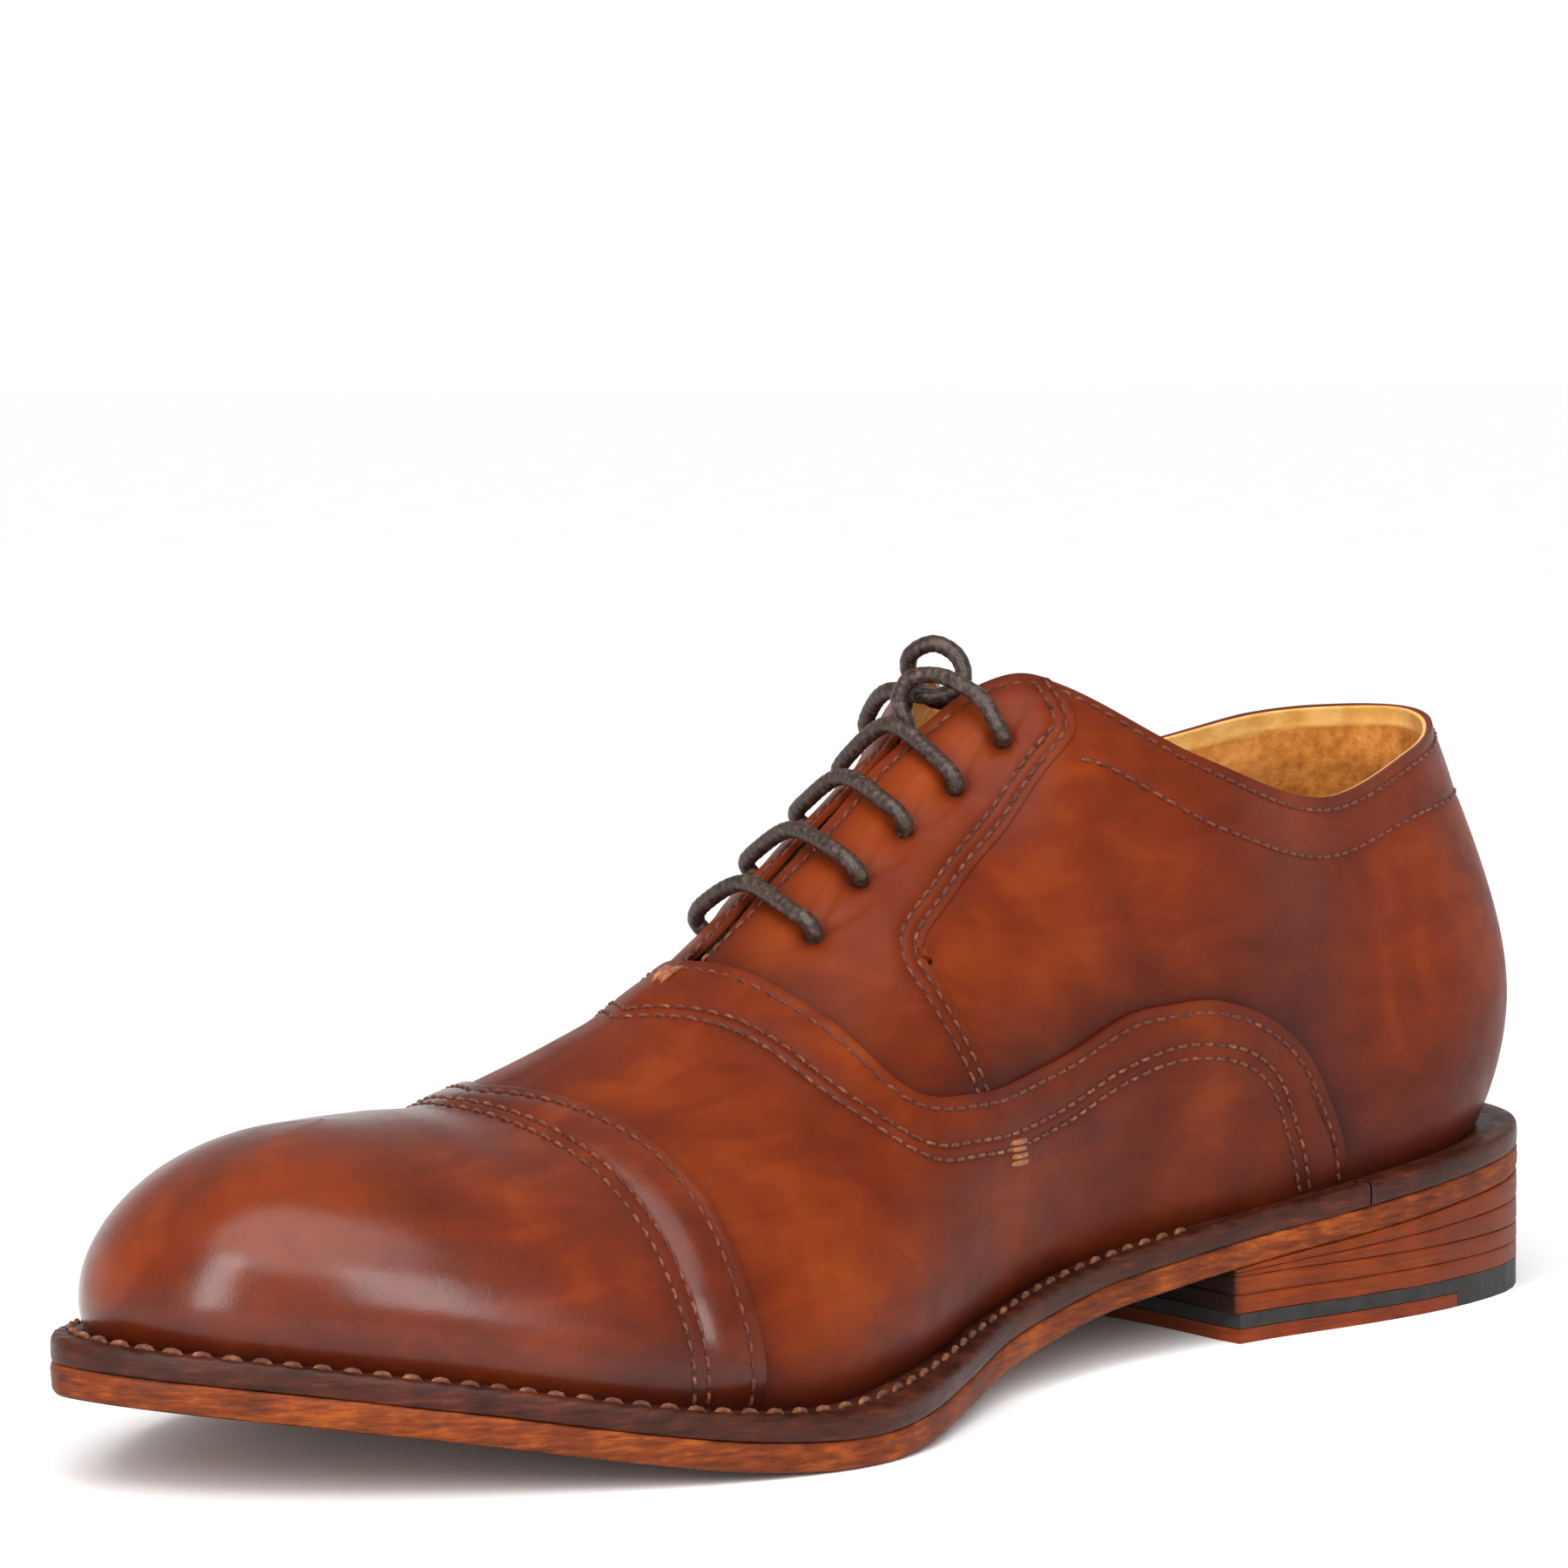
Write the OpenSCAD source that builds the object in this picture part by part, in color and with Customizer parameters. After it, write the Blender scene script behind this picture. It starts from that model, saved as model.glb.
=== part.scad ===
// Leather oxford shoe, left foot: a welted shoe with a toe cap, a waved vamp and five pairs of eyelets.
// Millimetres. The toe points to -X, the outer side of the foot to -Y, and the ground is Z = 0.
// Every leather piece of the upper is cut from one surface, skin(), and lies at its own depth under it.

/* [Size] */
// Length of the outsole from the heel to the toe
shoe_length = 302; // [255:1:330]

/* [Sole] */
// Thickness of the leather outsole
outsole_thickness = 4.5; // [3.5:0.1:6]
// Thickness of the welt and of the heel rand
welt_thickness = 4; // [3.5:0.1:6]
// Thickness of the insole
insole_thickness = 3; // [2:0.1:4]
// Thickness of the sock liner
sock_thickness = 1; // [0.6:0.1:2]
// Thickness of the rubber top piece at the bottom of the heel
top_piece_thickness = 5; // [3:0.1:7]
// Thickness of the leather inlay under the front of the top piece
inlay_thickness = 2.4; // [1:0.1:3]
// Thickness of each level lift of the heel
lift_thickness = 3.2; // [2.5:0.1:4]
// Distance from the back of the outsole to the heel breast
heel_breast = 90; // [65:1:95]

/* [Upper] */
// Thickness of the upper leather
leather = 1.1; // [0.8:0.1:1.8]
// Thickness of the toe puff and the heel counter
stiffener = 1; // [0.6:0.1:2]
// Thickness of the lining
lining = 0.8; // [0.6:0.1:1.5]
// Width of the lasting margin turned in under the insole
margin = 12; // [8:1:16]

/* [Laces] */
// Thickness of the round lace
lace_diameter = 2.8; // [2:0.1:4]
// Diameter of the holes punched for the lace
eyelet_diameter = 5; // [3.5:0.1:6]

/* [Hidden] */
$fn = 32;
// The tables below are drawn for this length, and size carries them to another
nominal_length = 302;
size = shoe_length / nominal_length;
// Middle of the shoe's box: distance from the back of the outsole, and from the line of the tables' sides
middle = 151;
side_shift = 7.75;
// Clearance between pieces that lie on each other
gap = 0.15;
// Height of the feather edge, where the upper meets the welt, over the ground side of the outsole
feather_height = outsole_thickness + welt_thickness;
puff_depth = leather + gap;
lining_depth = puff_depth + stiffener + 2 * gap;
// How far a lapped edge stands above the piece under it
lap_rise = leather + 0.35;
// How far the lasting margin lies under the feather edge
tuck = 2.6;

// Height of the ground side of the outsole every 20 mm from the heel to past the toe
sole_step = 20;
sole_rise = [21.6, 19.7, 17.7, 15.6, 13.6, 11.7, 9.5, 6.7, 3.8, 1.5, 0, 1.3, 4.7, 8.6, 12, 14.8, 17.2];

// Outline of the outsole from the heel back, outer side first: distance from the heel, side distance
outsole_outline = [
    [0, 0], [2, -12], [8, -22.5], [20, -30.5], [40, -34.5], [60, -34.5], [82, -32.5], [105, -32.5],
    [125, -33.5], [150, -40], [170, -50.5], [185, -58.5], [198, -62], [212, -61], [230, -56], [250, -47],
    [268, -37], [283, -26], [293, -16], [299, -7], [302, 2], [300, 8], [295.5, 14], [287, 22.5],
    [275, 32], [260, 39.5], [245, 44], [230, 46.5], [213, 46.5], [198, 44], [184, 39.5], [165, 33.5],
    [145, 28.5], [125, 26.5], [105, 28], [82, 31.5], [60, 34], [40, 34], [20, 30], [8, 22], [2, 12]
];

// Sections of the upper round the shoe, from the heel back along the outer side to the toe and back:
// feather edge [from heel, side], top edge [from heel, side, height],
// swell above the feather [out, up], swell below the top [out, down], heading of the top swell
outer_sections = [
    [2, 0, 3, 0, 102, 9, 27, 6, 28, 180],
    [7.5, -19.5, 9, -11, 100, 13, 27, 9, 28, -120],
    [25, -29.2, 24, -20, 96.3, 10, 27, 7, 26, -95],
    [52, -31, 55, -27, 90, 5, 24, 3, 20, -90],
    [82, -29.5, 86, -28, 98.6, 6, 26, 10, 12, -90],
    [108, -29, 112, -12, 113, 9, 30, 18, 6, -90],
    [130, -32, 130, -1.5, 102, 11, 30, 24, 3, -90],
    [152, -40, 152, -1.5, 86, 10, 26, 26, 2, -90],
    [175, -50, 175, 0, 69.5, 8, 22, 27, 1, -90],
    [198, -55, 198, 0, 58.8, 7, 19, 30, 0, -90],
    [222, -51.5, 222, 0, 51.5, 6, 18, 28, 0, -90],
    [246, -41.5, 236, 0, 51, 6, 17, 27, 0, -90],
    [268.5, -28, 246, 0, 51, 5.3, 15, 25, 0, -55],
    [282.5, -14, 248, 0, 51.2, 4.5, 13, 27, 0, -28]
];
toe_section = [287, 1, 248, 0, 51.2, 4.2, 12.5, 27, 0, 0];
inner_sections = [
    [282, 14.5, 248, 0, 51.2, 4.5, 12.5, 26, 0, 28],
    [267.5, 27, 246, 0, 51, 5, 14.5, 24, 0, 55],
    [246, 35, 236, 0, 51, 5.3, 16, 24, 0, 90],
    [222, 39, 222, 0, 51.5, 6, 18, 24, 1, 90],
    [198, 38, 198, 0, 58.8, 7, 19, 24, 2, 90],
    [175, 32, 175, 0, 69.5, 8, 22, 22, 4, 90],
    [152, 25, 152, 1.5, 86, 10, 26, 22, 5, 90],
    [130, 21, 130, 1.5, 102, 11, 30, 22, 5, 90],
    [108, 22, 112, 12, 113, 9, 30, 18, 6, 90],
    [82, 26, 86, 28, 101.8, 6, 26, 10, 12, 90],
    [52, 29, 55, 27, 96, 5, 24, 3, 20, 90],
    [25, 28, 24, 20, 101, 12, 27, 7, 26, 95],
    [7.5, 19.2, 9, 11, 102.3, 13, 27, 9, 28, 120]
];
// Place of the upper on the sole: how far forward and inward of its tables it stands
last_forward = 6.5;
last_inward = 2;
section_shift = [last_forward, last_inward, last_forward, last_inward, 0, 0, 0, 0, 0];
sections = [for (row = concat(outer_sections, [toe_section], inner_sections))
    concat([for (i = [0:8]) (row[i] + section_shift[i]) * size], [cos(row[9]), sin(row[9])])];
around = len(sections);
toe = around / 2;

// Seams, each a list of [section, height fraction] on the outer side
vamp_edge = [
    [3.05, 0], [3.2, 0.155], [3.43, 0.315], [3.73, 0.39], [4.17, 0.41], [4.7, 0.37], [5.45, 0.335],
    [6.2, 0.345], [6.85, 0.385], [7.5, 0.475], [7.78, 0.68], [7.93, 0.845], [8.05, 1]
];
vamp_stitch = [
    [3.35, 0], [3.52, 0.16], [3.7, 0.28], [4, 0.33], [4.4, 0.325], [4.98, 0.285], [5.7, 0.265],
    [6.4, 0.28], [7, 0.325], [7.55, 0.39], [8, 0.56], [8.25, 0.78], [8.6, 1]
];
cap_edge = [[9.43, 0], [9.43, 0.25], [9.38, 0.5], [9.45, 0.7], [9.78, 1]];
cap_stitch = [[9.85, 0], [9.85, 0.25], [9.82, 0.5], [9.87, 0.7], [10.13, 1]];
facing_rear = [
    [6.66, 0.335], [6.75, 0.42], [6.87, 0.55], [6.88, 0.645], [6.4, 0.665], [5.6, 0.7], [4.95, 0.8],
    [4.85, 1]
];
facing_front = [[8.12, 0.95], [7.9, 0.97], [7.5, 0.99], [6.9, 1], [6.3, 1], [5.9, 1], [5.6, 1]];
facing_bottom = [
    [6.66, 0.335], [6.95, 0.36], [7.5, 0.43], [7.72, 0.56], [7.93, 0.72], [8.08, 0.86], [8.12, 0.95]
];
facing_top = [[4.85, 1], [5.6, 1]];
quarter_front = [
    [6.62, 0.335], [6.7, 0.42], [6.82, 0.5], [7.1, 0.6], [7.1, 0.68], [6.5, 0.715], [5.75, 0.745],
    [5.25, 0.8], [5.07, 0.88], [5.02, 1]
];
quarter_bottom = [
    [0.01, 0], [0.75, 0], [1.5, 0], [2.25, 0], [3, 0], [3.3, 0.17], [3.62, 0.315], [4.2, 0.37],
    [4.8, 0.33], [5.45, 0.3], [6.1, 0.31], [6.62, 0.335]
];
quarter_top = [
    [0.01, 1], [0.75, 1], [1.5, 1], [2.2, 1], [2.85, 1], [3.3, 1], [3.7, 1], [4.05, 1], [4.35, 1],
    [4.6, 1], [4.83, 1], [5.02, 1]
];

// Route of the lace, from one end inside the shoe through all ten eyelets and the half knot to the other
lace_route = [
    [44.5, 5.5, 63], [46, 5.5, 78], [45.5, 5.5, 92], [42.5, 6, 101], [37.5, 6.5, 106], [32, 7, 107],
    [26.5, 8, 103.5], [22, 9, 102], [18.5, 10, 102.5], [17, 10, 105.5], [16.5, 11, 109],
    [17.5, 9, 112.5], [19.5, 4.5, 113], [20.5, 0, 111.5], [21.5, -4, 109], [22.5, -7, 104],
    [26, -4, 101], [25.5, -3, 99.5], [18.5, -1.5, 93.5], [16.5, -2, 93.5], [14, -5, 96.5],
    [13.5, -1, 100], [13, 9.5, 105], [13, 19.5, 99.5], [14, 23, 95.5], [16.5, 19.5, 93], [16, 18, 90.5],
    [10.5, 19, 86.2], [4, 20, 81.7], [-3.5, 18, 78.5], [-5, 19, 78.5], [-7.5, 22, 82], [-8.5, 18.5, 85],
    [-8.5, 9.5, 89], [-8.5, -1, 86], [-7.5, -5, 83], [-5, -2.5, 79.5], [-5.5, -2, 77.5],
    [-13.5, -3, 71], [-15.5, -3.5, 71], [-18, -5.5, 75], [-19, -1.5, 77.5], [-19, 9.5, 81],
    [-19.5, 19, 77], [-18, 22.5, 73.5], [-15.5, 19.5, 70.5], [-14, 18.5, 70.5], [-5.5, 14.5, 76.5],
    [0, 15.5, 80.5], [5, 17.5, 84.5], [5.5, 18.5, 86], [3.5, 22, 89.5], [2.5, 18.5, 92.5],
    [2.5, 9.5, 97], [2.5, -0.5, 93.5], [3.5, -4, 90.5], [5.5, -1.5, 87], [7, 0.5, 86.5],
    [13.5, 7, 90.5], [20.5, 15, 96], [26, 20.5, 99.5], [26, 22.5, 101], [22.5, 25.5, 103],
    [21, 22, 107.5], [20, 17, 110], [21, 12, 109.5], [23, 7.5, 109.5], [25, 4.5, 112], [25, 6, 116],
    [23, 9.5, 118], [21.5, 13.5, 116], [23, 15, 112], [26.5, 14, 108.5], [32, 13.5, 107.5],
    [37.5, 14, 106], [42.5, 14, 101], [45.5, 14, 92], [46, 14, 78], [44.5, 14, 65]
];
lace_sides = 8;
aglet_length = 14;

// Cells of the quarter's grid from the back seam: all, those with a lasting margin, those over the counter
quarter_rows = 22;
margin_cells = 8;
counter_cells = [8, 10];
// Seam between the quarter linings and the vamp lining, and the front corner of the quarter linings
lining_seam = [[6.3, 0], [8.05, 1]];
lining_corner = [7.85, 0.97];
// How much deeper the lining lies behind the heel counter, and the foot of a facing under the vamp
counter_room = 0.7;
facing_sink = 0.6;
// Sections of the toe cap's rows, heights of the points of each row, and height of the end of a lap
cap_sections = [10.3, 10.75, 11.2, 11.65, 12.1, 12.5, 12.85, 13.2, 13.5, 13.75];
arch_heights = [-2, -1, 0, 0.1, 0.22, 0.35, 0.48, 0.6, 0.72, 0.83, 0.92, 0.97];
lap_start = 0.1;

// Distance from the heel where the rand meets the welt, and sections between the stitches of the welt
rand_end = 60;
stitch_start = 4.4;
stitch_pitch = 0.19;
shank_thickness = 1.2;
nail_diameter = 2;
nail_reach = 0.5;
// Nails of the heel: distance from the heel, side distance
heel_nail_places = [[12, 0], [26, -17], [26, 17], [50, -19], [50, 19]];

// Tongue, from the throat to its top: distance from heel, height of ridge, half width, fall at its sides
tongue_sections = [
    [171, 61.5, 12, 3.5], [155, 72, 15, 7], [140, 82, 16.5, 9.5], [125, 92, 17, 11], [111, 101.5, 19, 12]
];
tongue_lean = 36;
tongue_leather = 1.2;

// Centres of the eyelets on the outer side
eyelets = [[7.45, 0.82], [6.98, 0.835], [6.5, 0.83], [6, 0.815], [5.5, 0.83]];

// ---------- Curves ----------

function blend(a, b, c, d, f) =
    b + f / 2 * (c - a) + f * f / 2 * (2 * a - 5 * b + 4 * c - d)
        + f * f * f / 2 * (3 * b - 3 * c + d - a);

// A point on the smooth closed loop through the rows of a list
function on_loop(rows, s) =
    let (n = len(rows), i = floor(s) + n, f = s - floor(s))
    blend(rows[(i - 1) % n], rows[i % n], rows[(i + 1) % n], rows[(i + 2) % n], f);

// A point on the smooth open curve through the rows of a list, f from 0 to 1
function on_curve(rows, f) =
    let (n = len(rows) - 1, s = f * n, i = min(floor(s), n - 1))
    blend(rows[max(i - 1, 0)], rows[i], rows[i + 1], rows[min(i + 2, n)], s - i);

// Height of the ground side of the outsole at a distance from the heel
function sole_z(u) =
    let (n = len(sole_rise) - 1, s = max(0, min(u / size / sole_step, n - 0.001)), i = floor(s))
    size * max(0, blend(sole_rise[max(i - 1, 0)], sole_rise[i], sole_rise[i + 1],
        sole_rise[min(i + 2, n)], s - i));

// From distance from the heel, side and height to the frame of the shoe
function place(p) = [size * middle - p[0], p[1] + size * side_shift, p[2]];

// ---------- Surface of the upper ----------

// The four control points of the section at s
function section(s) =
    let (r = on_loop(sections, s), k = norm([r[9], r[10]]), out = outward(s))
    [
        [r[0], r[1], sole_z(r[0]) + feather_height],
        [r[0] + out[0] * r[5], r[1] + out[1] * r[5], sole_z(r[0]) + feather_height + r[6]],
        [r[2] + r[9] / k * r[7], r[3] + r[10] / k * r[7], r[4] - r[8]],
        [r[2], r[3], r[4]]
    ];

// Level direction straight out from the feather edge at s
function outward(s) =
    let (a = on_loop(sections, s - 0.01), b = on_loop(sections, s + 0.01),
        l = norm([b[0] - a[0], b[1] - a[1]]))
    [(b[1] - a[1]) / l, (a[0] - b[0]) / l];

function on_section(c, h) =
    let (g = 1 - h)
    g * g * g * c[0] + 3 * g * g * h * c[1] + 3 * g * h * h * c[2] + h * h * h * c[3];

function along_section(c, h) =
    let (g = 1 - h)
    3 * g * g * (c[1] - c[0]) + 6 * g * h * (c[2] - c[1]) + 3 * h * h * (c[3] - c[2]);

// A point at section s and height fraction h, a depth under the surface.
// Below the feather, h = -1 is the fold of the lasting margin and h = -2 is its inner edge.
function skin(s, h, depth) =
    h >= 0
        ? let (c = section(s), across = on_section(section(s + 0.01), h) - on_section(section(s - 0.01), h),
            n = cross(across, along_section(c, h)))
            on_section(c, h) - n / norm(n) * depth
        : let (f = section(s)[0], out = outward(s), inward = h > -1.5 ? depth : margin,
            u = f[0] - out[0] * inward)
            [u, f[1] - out[1] * inward, sole_z(u) + feather_height - tuck + depth];

// ---------- Sheets of leather ----------

// A sheet between two grids of points, rows along the shoe and columns up or across it.
// cut(i, j) is true for a cell that is cut away. With closed_toe the two halves of the last row are joined.
module sheet(outer, inner, cut = function(i, j) false, closed_toe = false) {
    rows = len(outer) - 1;
    columns = len(outer[0]) - 1;
    below = (rows + 1) * (columns + 1);
    last = rows * (columns + 1);
    at = function(i, j) i * (columns + 1) + j;
    there = function(i, j) i >= 0 && i < rows && j >= 0 && j < columns && !cut(i, j);
    quad = function(a, b, c, d) [[a, b, c], [a, c, d]];
    wall = function(a, b) quad(b, a, a + below, b + below);
    cells = [
        for (i = [0:rows - 1], j = [0:columns - 1])
            if (there(i, j))
                let (a = at(i, j), b = at(i + 1, j), c = at(i + 1, j + 1), d = at(i, j + 1))
                each concat(
                    quad(a, b, c, d),
                    quad(d + below, c + below, b + below, a + below),
                    there(i, j - 1) ? [] : wall(a, b),
                    there(i + 1, j) || (closed_toe && i == rows - 1) ? [] : wall(b, c),
                    there(i, j + 1) ? [] : wall(c, d),
                    there(i - 1, j) ? [] : wall(d, a)
                )
    ];
    toe_cells = !closed_toe ? [] : [
        for (j = [0:(columns - 1) / 2 - 1])
            let (a = last + j, b = last + columns - j)
            each concat(
                quad(a + 1, a, b, b - 1),
                quad(b - 1 + below, b + below, a + below, a + 1 + below)
            ),
        each wall(last, last + columns)
    ];
    points = [for (grid = [outer, inner], row = grid, p = row) place(p)];
    polyhedron(points, concat(cells, toe_cells), convexity = 8);
}

// A sheet of leather that follows the upper: each grid point is [section, height fraction, depth]
module skin_sheet(grid, thickness, cut = function(i, j) false, closed_toe = false) {
    sheet(
        [for (row = grid) [for (p = row) skin(p[0], p[1], p[2])]],
        [for (row = grid) [for (p = row) skin(p[0], p[1], p[2] + thickness)]],
        cut, closed_toe
    );
}

// The same grid on the inner side of the foot
function mirrored(grid) = [for (i = [len(grid) - 1:-1:0]) [for (p = grid[i]) [around - p[0], p[1], p[2]]]];

// Points [section, height fraction] over a patch bounded by four curves
function patch(bottom, top, left, right, n, m) = [
    for (i = [0:n]) [
        for (j = [0:m])
            let (u = i / n, v = j / m, b = on_line(bottom, u), t = on_line(top, u), l = on_line(left, v),
                r = on_line(right, v))
            (1 - v) * b + v * t + (1 - u) * l + u * r
                - (1 - u) * ((1 - v) * bottom[0] + v * top[0])
                - u * ((1 - v) * bottom[len(bottom) - 1] + v * top[len(top) - 1])
    ]
];

// A point on the broken line through the rows of a list, f from 0 to 1
function on_line(rows, f) =
    let (s = f * (len(rows) - 1), i = min(floor(s), len(rows) - 2))
    rows[i] + (rows[i + 1] - rows[i]) * (s - i);

// A lapped edge rises over the piece under it, but lies flat where it meets the welt
function lapped(h) = -lap_rise * min(1, max(0, h) / lap_start);

// Rows of a sheet that crosses the shoe from feather edge to feather edge: each row is a function of height
function arch(row_s, depth) = [
    for (h = arch_heights) [row_s(h), h, depth(h)],
    for (k = [len(arch_heights) - 1:-1:0])
        let (h = arch_heights[k])
        [around - row_s(h), h, depth(h)]
];

// Section at which a seam stands at a height fraction, for seams whose rows are evenly described by height
function seam_at(seam, h) = lookup(max(0, h), [for (p = seam) [p[1], p[0]]]);

module toe_cap() {
    rows = [
        arch(function(h) seam_at(cap_edge, h), function(h) lapped(h)),
        arch(function(h) seam_at(cap_stitch, h), function(h) lapped(h)),
        for (s = cap_sections)
            arch(function(h) s + (seam_at(cap_stitch, h) - cap_stitch[0][0]) * (toe - s) / 4, function(h) 0)
    ];
    color("#7a2f18") skin_sheet(rows, leather, closed_toe = true);
}

module toe_puff() {
    rows = [for (s = [10.3, for (s = cap_sections) if (s > 10.5) s])
        [for (p = arch(function(h) s, function(h) puff_depth)) if (p[1] >= 0) p]];
    color("#c9b48a") skin_sheet(rows, stiffener, closed_toe = true);
}

module vamp_lining() {
    rear = function(h) lining_seam[0][0] + 0.04 + (lining_seam[1][0] - lining_seam[0][0]) * max(0, h);
    rows = [
        for (f = [0:1 / 6:1.01]) arch(function(h) rear(h) + (9.6 - rear(h)) * f, function(h) lining_depth),
        for (s = cap_sections) arch(function(h) s, function(h) lining_depth)
    ];
    color("#c98d45") skin_sheet(rows, lining, closed_toe = true);
}

module vamp() {
    n = 20;
    lapped_half = [for (k = [0:n])
        let (w = k / n, edge = on_curve(vamp_edge, w), stitch = on_curve(vamp_stitch, w),
            front = [seam_at(cap_edge, w) - 0.02, w], lap_end = [seam_at(cap_stitch, w) - 0.1, w],
            flat = 0.06 + 0.18 * w)
        [
            [edge[0], max(0, edge[1]), lapped(edge[1])],
            [stitch[0], max(0, stitch[1]), lapped(stitch[1])],
            for (f = [for (q = [0:12]) flat + (1 - flat) * q / 12])
                concat(stitch + (front - stitch) * f, 0),
            concat(lap_end, 0)
        ]
    ];
    margin_columns = [for (h = [-2, -1]) [for (p = lapped_half[0]) [p[0], h, 0]]];
    half = concat(margin_columns, lapped_half);
    rows = len(half[0]);
    grid = [for (i = [0:rows - 1]) concat(
        [for (column = half) column[i]],
        [for (k = [len(half) - 2:-1:0]) let (p = half[k][i]) [around - p[0], p[1], p[2]]]
    )];
    far = len(grid[0]) - 2;
    color("#8a3a1d") skin_sheet(grid, leather, cut = function(i, j) i == rows - 2 && (j < 5 || far - j < 5));
}

// Grid of the quarter of the outer side; the lasting margin is two more columns along its feather edge
function quarter_grid() =
    let (back = [[0.01, 0], [0.01, 1]],
        body = patch(quarter_bottom, quarter_top, back, quarter_front, quarter_rows, 16))
    [for (row = body) concat(
        [[row[0][0], -2, 0], [row[0][0], -1, 0]],
        [for (p = row) [p[0], max(0, p[1]), 0]]
    )];

module outer_quarter() {
    color("#8a3a1d")
        skin_sheet(quarter_grid(), leather, cut = function(i, j) j < 2 && i >= margin_cells);
}

module inner_quarter() {
    grid = mirrored(quarter_grid());
    rows = len(grid) - 1;
    color("#8a3a1d")
        skin_sheet(grid, leather, cut = function(i, j) j < 2 && i < rows - margin_cells);
}

// Grid of the facing of the outer side, raised where it laps over the quarter
function facing_grid() =
    let (body = patch(facing_bottom, facing_top, facing_rear, facing_front, 16, 21))
    [for (i = [0:16]) [for (j = [0:21])
        let (p = body[i][j], rise = i < 5 ? 1 : i == 5 ? 0.5 : 0, settle = min(1, max(0, (j - 3) / 3)))
        [p[0], min(1, p[1]), -lap_rise * rise * settle + facing_sink * (1 - settle)]
    ]];

module outer_facing() {
    color("#8f3c1c") difference() {
        skin_sheet(facing_grid(), leather);
        eyelet_bores(outer_side);
    }
}

module inner_facing() {
    color("#8f3c1c") difference() {
        skin_sheet(mirrored(facing_grid()), leather);
        eyelet_bores(inner_side);
    }
}

function lining_grid() =
    let (body = patch(
        [[0.01, 0], [lining_seam[0][0], 0]], [[0.01, 1], [4, 1], [6, 1], lining_corner],
        [[0.01, 0], [0.01, 1]], [lining_seam[0], lining_corner], 21, 14))
    [for (row = body) concat(
        [[row[0][0], -2, lining_depth], [row[0][0], -1, lining_depth]],
        [for (p = row)
            let (h = max(0, min(1, p[1])), room = min(1, max(0, 4 - p[0])) * min(1, h * 8, (1 - h) * 4))
            [p[0], h, lining_depth + counter_room * room]]
    )];

module outer_quarter_lining() {
    color("#d29a52") difference() {
        skin_sheet(lining_grid(), lining);
        eyelet_bores(outer_side);
    }
}

module inner_quarter_lining() {
    color("#d29a52") difference() {
        skin_sheet(mirrored(lining_grid()), lining);
        eyelet_bores(inner_side);
    }
}

module heel_counter() {
    side = [for (i = [0:counter_cells[0]]) [for (j = [2:counter_cells[1]])
        let (p = quarter_grid()[i][j])
        [p[0], p[1], puff_depth + 0.1]
    ]];
    color("#b58a5a") skin_sheet(concat(mirrored(side), side), stiffener);
}

// ---------- Eyelets, tongue and laces ----------

outer_side = 0;
inner_side = 1;

// Carry something from the origin to a point of the upper, with Z straight out of the leather
module at_skin(s, h, depth = 0) {
    from = place(skin(s, h, depth));
    out = place(skin(s, h, depth - 1)) - from;
    translate(from)
        rotate([0, acos(out[2] / norm(out)), atan2(out[1], out[0])])
            children();
}

module at_eyelet(p, side) {
    at_skin(side == outer_side ? p[0] : around - p[0], p[1]) children();
}

module eyelet_bores(side) {
    for (p = eyelets) at_eyelet(p, side) translate([0, 0, -6]) cylinder(h = 10, d = eyelet_diameter);
}

module blind_eyelets() {
    depth = leather + 0.4;
    height = lining_depth - depth - 0.4;
    color("#b08d57") for (side = [outer_side, inner_side], p = eyelets) at_eyelet(p, side)
        translate([0, 0, -depth - height]) difference() {
            cylinder(h = height, d = eyelet_diameter + 2.8);
            translate([0, 0, -1]) cylinder(h = height + 2, d = eyelet_diameter + 0.8);
        }
}

// A curved sheet from the throat to the top of the laces, a depth under its own outer surface
module tongue_sheet(depth, thickness) {
    point = function(f, w, d)
        let (r = on_curve(tongue_sections, f), a = atan(2 * r[3] * w / r[2]))
        [
            (r[0] + last_forward) * size - d * sin(tongue_lean) * cos(a),
            (w * r[2] + last_inward) * size - d * sin(a),
            (r[1] - r[3] * w * w) * size - d * cos(tongue_lean) * cos(a)
        ];
    outer = [for (f = [0:0.1:1.01]) [for (w = [-1:0.2:1.01]) point(1 - f, w, depth)]];
    inner = [for (f = [0:0.1:1.01]) [for (w = [-1:0.2:1.01]) point(1 - f, w, depth + thickness)]];
    sheet(outer, inner);
}

module tongue() {
    color("#7a2f18") tongue_sheet(0, tongue_leather);
}

module tongue_lining() {
    color("#c98d45") tongue_sheet(tongue_leather + gap, lining);
}

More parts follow.
